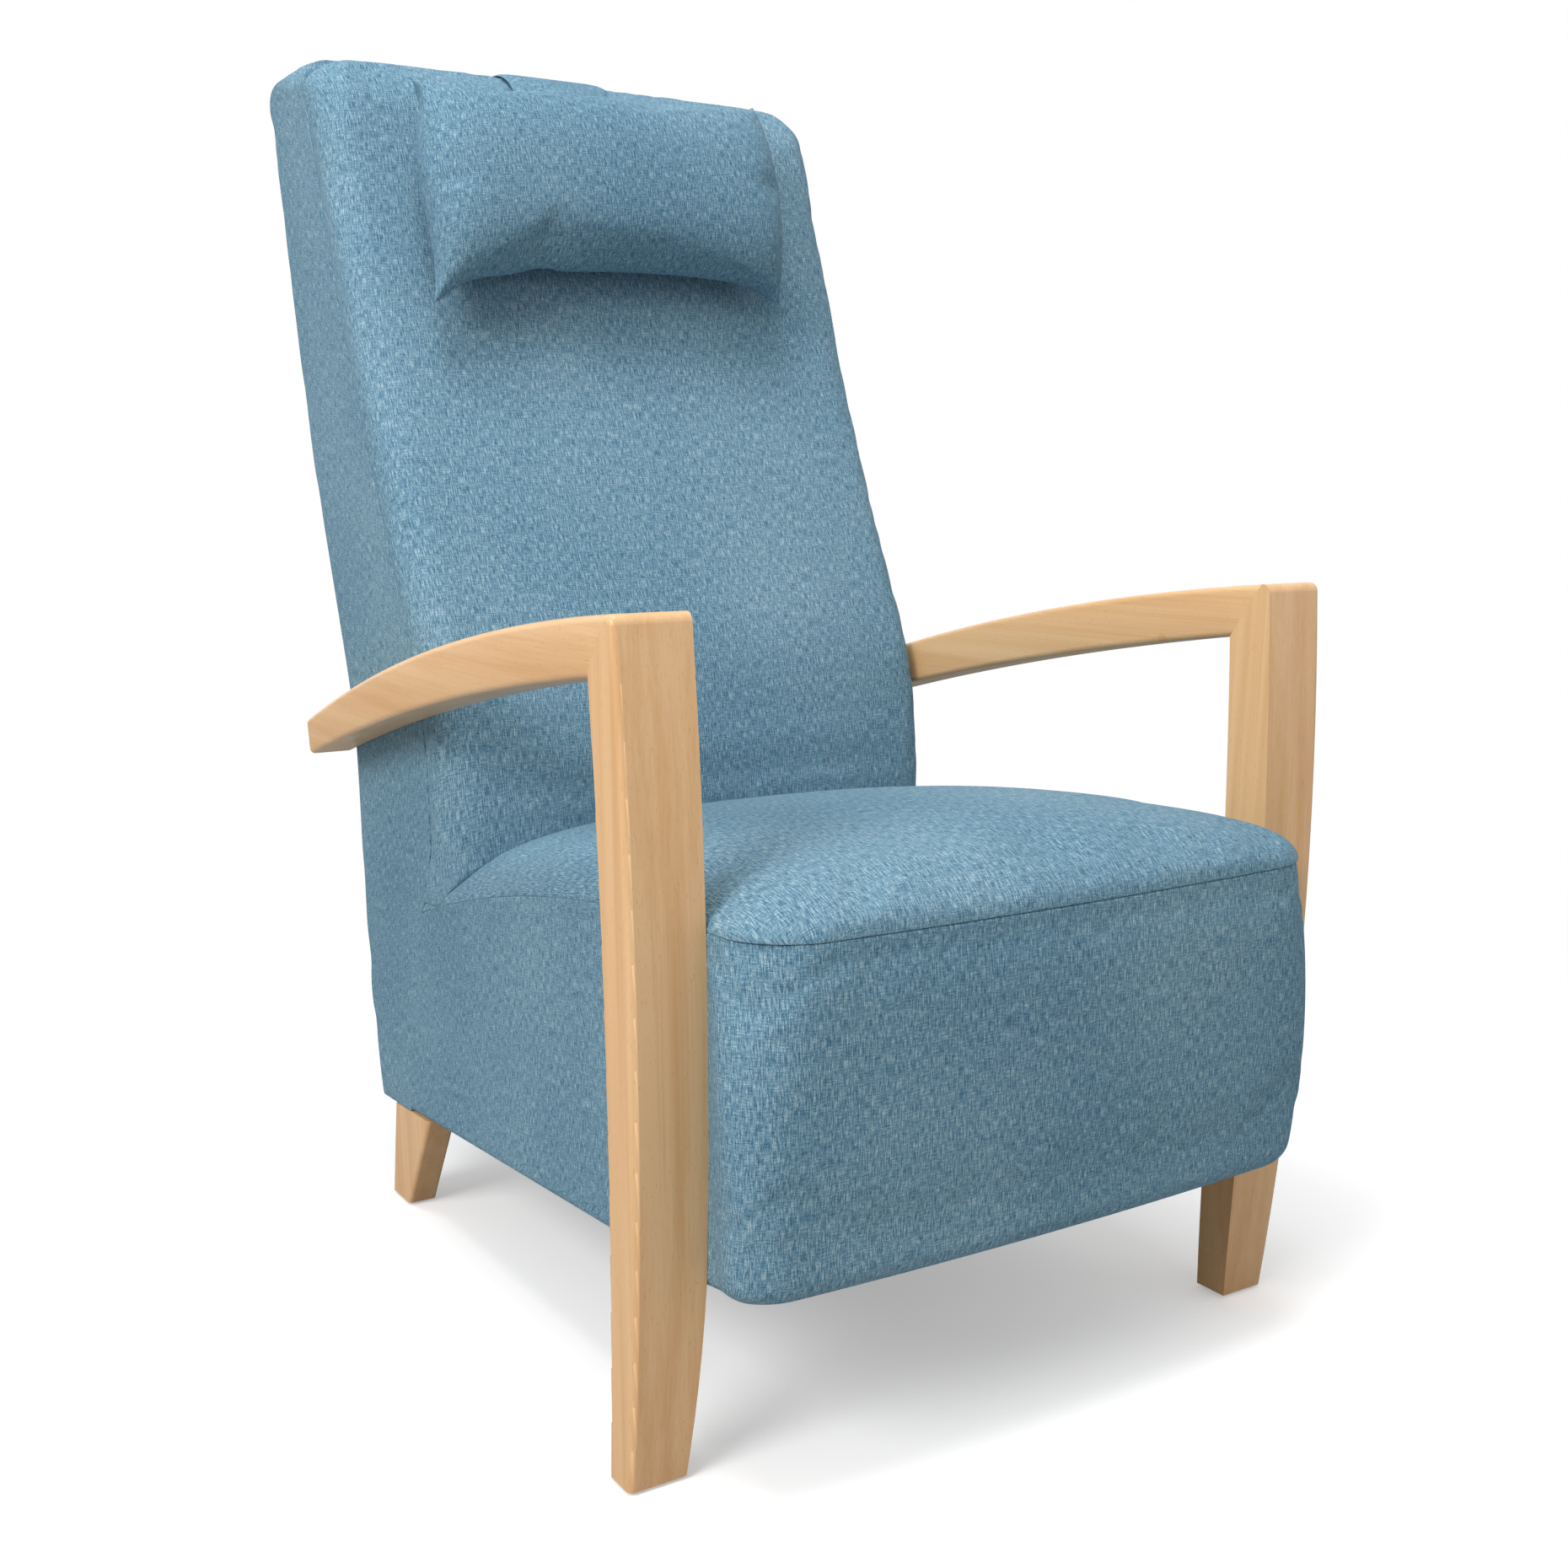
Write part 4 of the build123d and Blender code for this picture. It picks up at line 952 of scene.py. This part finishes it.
# The pillow's width, thickness and height when filled, and width and height of its cut cloth;
# how far it leans back, how far it hangs askew, and how far it lies over the CAD's
PILLOW_SIZE, PILLOW_CUT = (0.380, 0.078, 0.198), (0.392, 0.204)
PILLOW_LEAN, PILLOW_TILT, PILLOW_LIFT = math.radians(13.0), math.radians(2.0), 0.004


def neck_pillow(material):
    """Pillow blown up from two layers, then laid against the leaning back."""
    wide, high = PILLOW_CUT

    def place(u, v, w):
        across, up = np.sin((u - 0.5) * math.pi * 0.9) / math.sin(math.pi * 0.45), v * 2 - 1
        ear = (np.abs(across) * np.abs(up)) ** 9
        x = across * wide / 2 * (1 + 0.028 * (1 - up ** 2)) + np.sign(across) * 0.004 * ear
        # The upper left corner is drawn in, the lower left one out
        x = x + np.where(across < 0, 0.009 * across ** 2 * up * np.abs(up), 0)
        z = up * high / 2 + (1 - across ** 2) * (0.015 * (1 - v) ** 2 + 0.013 * v ** 2)
        z = z + 0.005 * np.exp(-((across + 0.42) / 0.10) ** 2) * (1 - v) ** 4
        z = z + np.sign(up) * 0.008 * ear
        bulge = (1 - np.abs(across) ** 12) * (1 - np.abs(up) ** 2.4)
        # Folds fan out from the corners, where the seams gather the cloth
        to_side, to_end = (1 - np.abs(across)) * wide, (1 - np.abs(up)) * high
        fan = np.arctan2(to_end, to_side + 1e-6)
        fold = np.cos(fan * 9) * np.exp(-((np.hypot(to_side, to_end) / 2 - 0.018) / 0.014) ** 2)
        # Fuller towards the sitter, flatter where it lies on the back
        full = np.where(w < 0.5, 0.044, 0.021)
        depth = 0.0012 + full * bulge ** 0.6 + 0.0012 * fold * bulge ** 0.3
        return x, (w * 2 - 1) * depth, z

    pillow = block("neck_pillow_cover", (88, 52, 1), place, material)
    held = np.zeros(len(pillow.data.vertices))
    puff(pillow, held, pressure=5.0, most=0.008, shrink=-0.05, frames=20, stiffness=12.0)
    co = points_of(pillow)
    co -= (co.max(0) + co.min(0)) / 2
    co *= np.array(PILLOW_SIZE) / (co.max(0) - co.min(0))
    turn = Matrix.Rotation(PILLOW_TILT, 3, "Y") @ Matrix.Rotation(PILLOW_LEAN, 3, "X")
    low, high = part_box("neck_pillow")
    centre = np.array((low + high) / 2) + (0, 0, PILLOW_LIFT)
    move_points(pillow, co @ np.array(turn) + centre)
    return subdivide(pillow)


# The strap's middle, half width, thickness and gap to the cover; where its front run meets the
# part that lies still and where it ends on the pillow; place and ends of the run behind the
# back; and a point inside the back, which the strap's outer side faces away from
STRAP_X, STRAP_HALF, STRAP_THICK, STRAP_GAP = -0.022, 0.055, 0.003, 0.0003
STRAP_SPLIT, PILLOW_END = 0.3863, (0.2430, 1.0665)
STRAP_Y, STRAP_ENDS = 0.457, (1.0717, 0.7757)
INSIDE_BACK = (0.38, 0.9)


def band(name, points, spacing, material, sides=None):
    """Closed strap along (y, z) points of its under side, outer side away from the back.

    Where sides are given, the middle follows the points and its two edges sink to the sides.
    """
    path = sides_path = resample(np.array(points), spacing)
    if sides:
        sides_path = resample(np.array(sides), walked(np.array(sides))[-1] / (len(path) - 1))

    def outward(line):
        normals = line_normals(line)
        return normals * np.sign(np.sum(normals * (line - INSIDE_BACK)))

    normals, side_normals = outward(path), outward(sides_path)

    def place(u, v, w):
        side = np.sin((u * 2 - 1) * math.pi / 2)
        sunk = (np.abs(side) ** 2.5)[:, None]
        point = between(look_up(path, v), look_up(sides_path, v), sunk)
        normal = between(look_up(normals, v), look_up(side_normals, v), sunk)
        soft = np.sqrt(np.maximum(1 - np.abs(side) ** 8, 0))
        rise = STRAP_THICK * (0.15 + 0.85 * soft) * (1 - w)
        return STRAP_X + side * STRAP_HALF, *(point + normal * rise[:, None]).T

    return subdivide(block(name, (20, len(path) - 1, 1), place, material))


class CHAIR_OT_strap(bpy.types.Operator):
    """Strap over the back in three lengths, and the sleeve of its counterweight"""

    bl_idname = "chair.strap"
    bl_label = "Strap and counterweight"

    def execute(self, context):
        upholstery = context.scene.chair_upholstery
        cloth = woven_cover("melange cover, strap", upholstery, shade=0.012)
        crest = (CREST_CENTRE[0] - upholstery.back_crown, CREST_CENTRE[1])
        radius = CREST_RADIUS + STRAP_GAP
        # Where the taut strap leaves the round crest on its way to the pillow
        away = (crest[0] - PILLOW_END[0], PILLOW_END[1] - crest[1])
        turn = math.atan2(*away) - math.acos(radius / math.hypot(*away))
        split = (STRAP_SPLIT, crest[1] + radius)
        taut = [split, *arc(crest, radius, np.linspace(0, turn, 8)), PILLOW_END]
        # Its edges follow the crest further and settle on the pad
        draped = [
            split, *arc(crest, radius, np.linspace(0, 0.95, 20)),
            (PILLOW_END[0] + 0.003, PILLOW_END[1] - 0.008),
        ]
        front = band("strap_to_pillow", taut, 0.006, cloth, draped)
        settle(front, None, "pillow_cloth", "strap_front")
        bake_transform(front)

        bend = arc(BEND_CENTRE, BEND_RADIUS + STRAP_GAP, np.linspace(0, -math.pi / 2, 12))
        top = band("strap_over_top", [split, *bend], 0.005, cloth)
        settle(top, "chair", "pillow_cloth", "strap_top")

        hanging = [(STRAP_Y - STRAP_THICK, z) for z in STRAP_ENDS]
        rear = band("strap_to_weight", hanging, 0.008, cloth)
        settle(rear, None, "pillow_cloth", "strap_rear")
        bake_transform(rear)
        settle(weight_sleeve(cloth), "counterweight", "pillow_cloth", "weight_sleeve", fill=0.9)
        return {"FINISHED"}


def weight_sleeve(material):
    """Closed sleeve sewn round the flat steel bar, flat on the back's side."""
    low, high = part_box("weight_sleeve")
    middle, size = (low + high) / 2, high - low

    def place(u, v, w):
        x, z = np.sin((u - 0.5) * math.pi), np.sin((v - 0.5) * math.pi)
        swell = ((1 - np.abs(x) ** 10) * (1 - np.abs(z) ** 8)) ** 0.5
        y = (0.18 + 0.82 * swell) * (w - 0.5)
        return middle.x + x * size.x / 2, middle.y + y * size.y, middle.z + z * size.z / 2

    return subdivide(block("weight_pocket", (28, 18, 3), place, material))


class CHAIR_OT_underside(bpy.types.Operator):
    """Stapled dust cover under the seat, and plastic glides under the feet"""

    bl_idname = "chair.underside"
    bl_label = "Underside"

    def execute(self, context):
        lining = plain_grain(
            "spun-bonded polypropylene", ("#1d1e20", "#2b2c2f"), (0.9, 0.9, 0.9), 0.9, 0.15
        )
        low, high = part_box("dust_cover")
        gap, thickness, deepest_sag, corner_cut = 0.0002, 0.0006, 0.0035, 0.022

        def place(u, v, w):
            x = low.x + (high.x - low.x) * u
            y = low.y + (high.y - low.y) * v
            sag = deepest_sag * np.sin(u * math.pi) * np.sin(v * math.pi)
            # The front corners are cut off where the seat's corners are round
            y = y + corner_cut * np.clip(np.abs(u * 2 - 1) * 8 - 7, 0, 1) * (1 - v) ** 6
            return x, y, belly_height(y) - gap - thickness * w - sag

        cover = block("dust_cover_cloth", (24, 30, 1), place, lining)
        settle(cover, "chair", "lining", "dust_cover")

        steel = metal("galvanised staple wire", ("#8f9396", "#b4b8ba"), 1.5, 0.42, 0.05)
        # The staples' line, in from the cloth's edges and across its two cut corners
        inset, corner = 0.011, 0.034
        plan = [
            (low.x + inset, low.y + corner), (low.x + corner, low.y + inset),
            (high.x - corner, low.y + inset), (high.x - inset, low.y + corner),
            (high.x - inset, high.y - inset), (low.x + inset, high.y - inset),
        ]
        line = [(x, y, belly_height(y) - 0.0010) for x, y in plan]
        measures = {"Spacing": 0.045, "Crown length": 0.0095, "Wire thickness": 0.0012}
        settle(staple_row("staples", line, steel, measures), "chair", "spring_steel")

        NODES["floor_glides"].data.materials[0] = plain_grain(
            "moulded polyethylene", ("#d9d6cd", "#e4e1d9"), (4, 4, 4), 0.5, 0.03
        )
        return {"FINISHED"}


def staple_row(name, corners, material, measures):
    """Staples in line with the edges of a closed run of corners, as one mesh.

    The node tree resamples the run, turns one staple to each point's tangent and realises them.
    Its inputs are the measures, in metres.
    """
    tree = bpy.data.node_groups.new(name, "GeometryNodeTree")
    for way in ("INPUT", "OUTPUT"):
        tree.interface.new_socket("Geometry", in_out=way, socket_type="NodeSocketGeometry")
    sockets = {
        label: tree.interface.new_socket(label, in_out="INPUT", socket_type="NodeSocketFloat")
        for label in measures
    }
    given = add_node(tree, "NodeGroupInput")
    curve = add_node(tree, "GeometryNodeMeshToCurve", {"Mesh": given["Geometry"]})[0]
    inputs = {"Curve": curve, "Length": given["Spacing"]}
    points = add_node(tree, "GeometryNodeCurveToPoints", inputs, mode="LENGTH")
    turn = add_node(
        tree, "FunctionNodeAlignRotationToVector", {"Vector": points["Tangent"]}, axis="X"
    )[0]
    crown, wire = given["Crown length"], given["Wire thickness"]
    size = add_node(tree, "ShaderNodeCombineXYZ", {"X": crown, "Y": wire, "Z": wire})[0]
    staple = add_node(tree, "GeometryNodeMeshCube", {"Size": size})[0]
    inputs = {"Points": points[0], "Instance": staple, "Rotation": turn}
    placed = add_node(tree, "GeometryNodeInstanceOnPoints", inputs)[0]
    real = add_node(tree, "GeometryNodeRealizeInstances", {"Geometry": placed})[0]
    inputs = {"Geometry": real, "Material": material}
    add_node(tree, "NodeGroupOutput", {0: add_node(tree, "GeometryNodeSetMaterial", inputs)[0]})

    mesh = bpy.data.meshes.new(name)
    count = len(corners)
    mesh.from_pydata(corners, [(i, (i + 1) % count) for i in range(count)], [])
    piece = new_object(name, mesh)
    modifier = piece.modifiers.new("staples", "NODES")
    modifier.node_group = tree
    for label, value in measures.items():
        modifier[sockets[label].identifier] = value
    return apply_modifiers(piece)


class CHAIR_OT_inner_frame(bpy.types.Operator):
    """Timber, webbing, springs and bolts inside the upholstery"""

    bl_idname = "chair.inner_frame"
    bl_label = "Inner frame"

    def execute(self, context):
        finishes = {
            "frame_wood": plain_grain(
                "planed spruce", ("#c7a67a", "#dcc096"), (3.5, 90, 90), 0.7, 0.25
            ),
            "spring_steel": metal(
                "phosphated spring wire", ("#54565a", "#707378"), 2, 0.38, 0.04
            ),
            "bolt_steel": metal("zinc-plated steel", ("#a9adb0", "#c6c9cb"), 1.2, 0.32, 0.03),
            "bar_steel": metal("hot-rolled flat steel", ("#3c3d40", "#55575b"), 6, 0.55, 0.08),
        }
        for row in frame["record"]["subparts"]:
            if row["material_slot"] in finishes:
                NODES[row["node"]].data.materials[0] = finishes[row["material_slot"]]
        for side, sign in (("left", -1), ("right", 1)):
            node = f"seat_side_board_{side}"
            settle(sawn_corner(node, sign), "chair", "frame_wood", node)
        settle(elastic_bands(), "chair", "webbing", "back_webbing")
        return {"FINISHED"}


def merged_copy(node, name):
    """Copy of a CAD node's mesh, and the bmesh to edit it with, its doubled points merged."""
    mesh = NODES[node].data.copy()
    mesh.name = name
    work = open_mesh(mesh)
    bmesh.ops.remove_doubles(work, verts=work.verts, dist=1e-5)
    bmesh.ops.recalc_face_normals(work, faces=work.faces)
    return mesh, work


def sawn_corner(node, sign):
    """Side board with its lower front corner sawn off, so that the round cover clears it."""
    mesh, work = merged_copy(node, f"{node}_sawn")
    # The cover's round corner has this middle; the board stays within 25 mm of it, and 1.5 mm
    # over the belly
    centre = Vector((sign * 0.2357, -0.4135, belly_height(-0.419) + 0.032))
    reach, lift = 0.025, 0.0015
    outward = Vector((sign * 0.50, -0.22, -0.84)).normalized()
    fall = (0, BELLY_REAR[1] - BELLY_FRONT[1], BELLY_FRONT[0] - BELLY_REAR[0])
    down = Vector(fall).normalized()
    for point, direction in (
        (centre + outward * reach, outward), (Vector((0, *BELLY_FRONT)) - down * lift, down),
    ):
        bmesh.ops.triangle_fill(work, edges=saw(work, point, direction), use_beauty=True)
    write_back(mesh, work)
    return new_object(mesh.name, mesh)


def elastic_bands():
    """Rubber-and-polyester webbing across the back, its edges softened."""
    mesh, work = merged_copy("back_webbing", "webbing_bands")
    bmesh.ops.dissolve_limit(work, angle_limit=0.01, verts=work.verts, edges=work.edges)
    write_back(mesh, work)
    mesh.materials.clear()
    mesh.materials.append(
        plain_grain("elastic webbing", ("#2a2b2e", "#4a4c51"), (1.2, 9, 2.2), 0.85, 0.4)
    )
    bands = new_object("webbing_bands", mesh)
    bevel = bands.modifiers.new("soft edges", "BEVEL")
    bevel.width = 0.0004
    bevel.segments = 2
    return apply_modifiers(bands)


class CHAIR_PT_panel(bpy.types.Panel):
    """Lists the pieces and their sizes in the sidebar"""

    bl_idname = "CHAIR_PT_panel"
    bl_label = "Easy Chair"
    bl_space_type = "VIEW_3D"
    bl_region_type = "UI"
    bl_category = "Easy Chair"

    def draw(self, context):
        for operator in OPERATORS:
            self.layout.operator(operator.bl_idname)
        for name, kind in GROUPS.items():
            box = self.layout.box()
            for size in kind.__annotations__:
                box.prop(getattr(context.scene, name), size)


OPERATORS = (
    CHAIR_OT_stage, CHAIR_OT_beech_frame, CHAIR_OT_seat, CHAIR_OT_back, CHAIR_OT_neck_pillow,
    CHAIR_OT_strap, CHAIR_OT_underside, CHAIR_OT_inner_frame,
)
GROUPS = {
    "chair_upholstery": ChairUpholstery, "chair_beech": ChairBeech, "chair_stage": ChairStage,
}
CLASSES = (*GROUPS.values(), *OPERATORS, CHAIR_PT_panel)


def register():
    for item in CLASSES:
        bpy.utils.register_class(item)
    for name, kind in GROUPS.items():
        setattr(bpy.types.Scene, name, bpy.props.PointerProperty(type=kind))


def unregister():
    for name in GROUPS:
        delattr(bpy.types.Scene, name)
    for item in reversed(CLASSES):
        bpy.utils.unregister_class(item)


def main():
    register()
    bpy.ops.chair.stage()
    bpy.ops.chair.beech_frame()
    bpy.ops.chair.seat()
    bpy.ops.chair.back()
    bpy.ops.chair.neck_pillow()
    bpy.ops.chair.strap()
    bpy.ops.chair.underside()
    bpy.ops.chair.inner_frame()


if __name__ == "__main__":
    main()
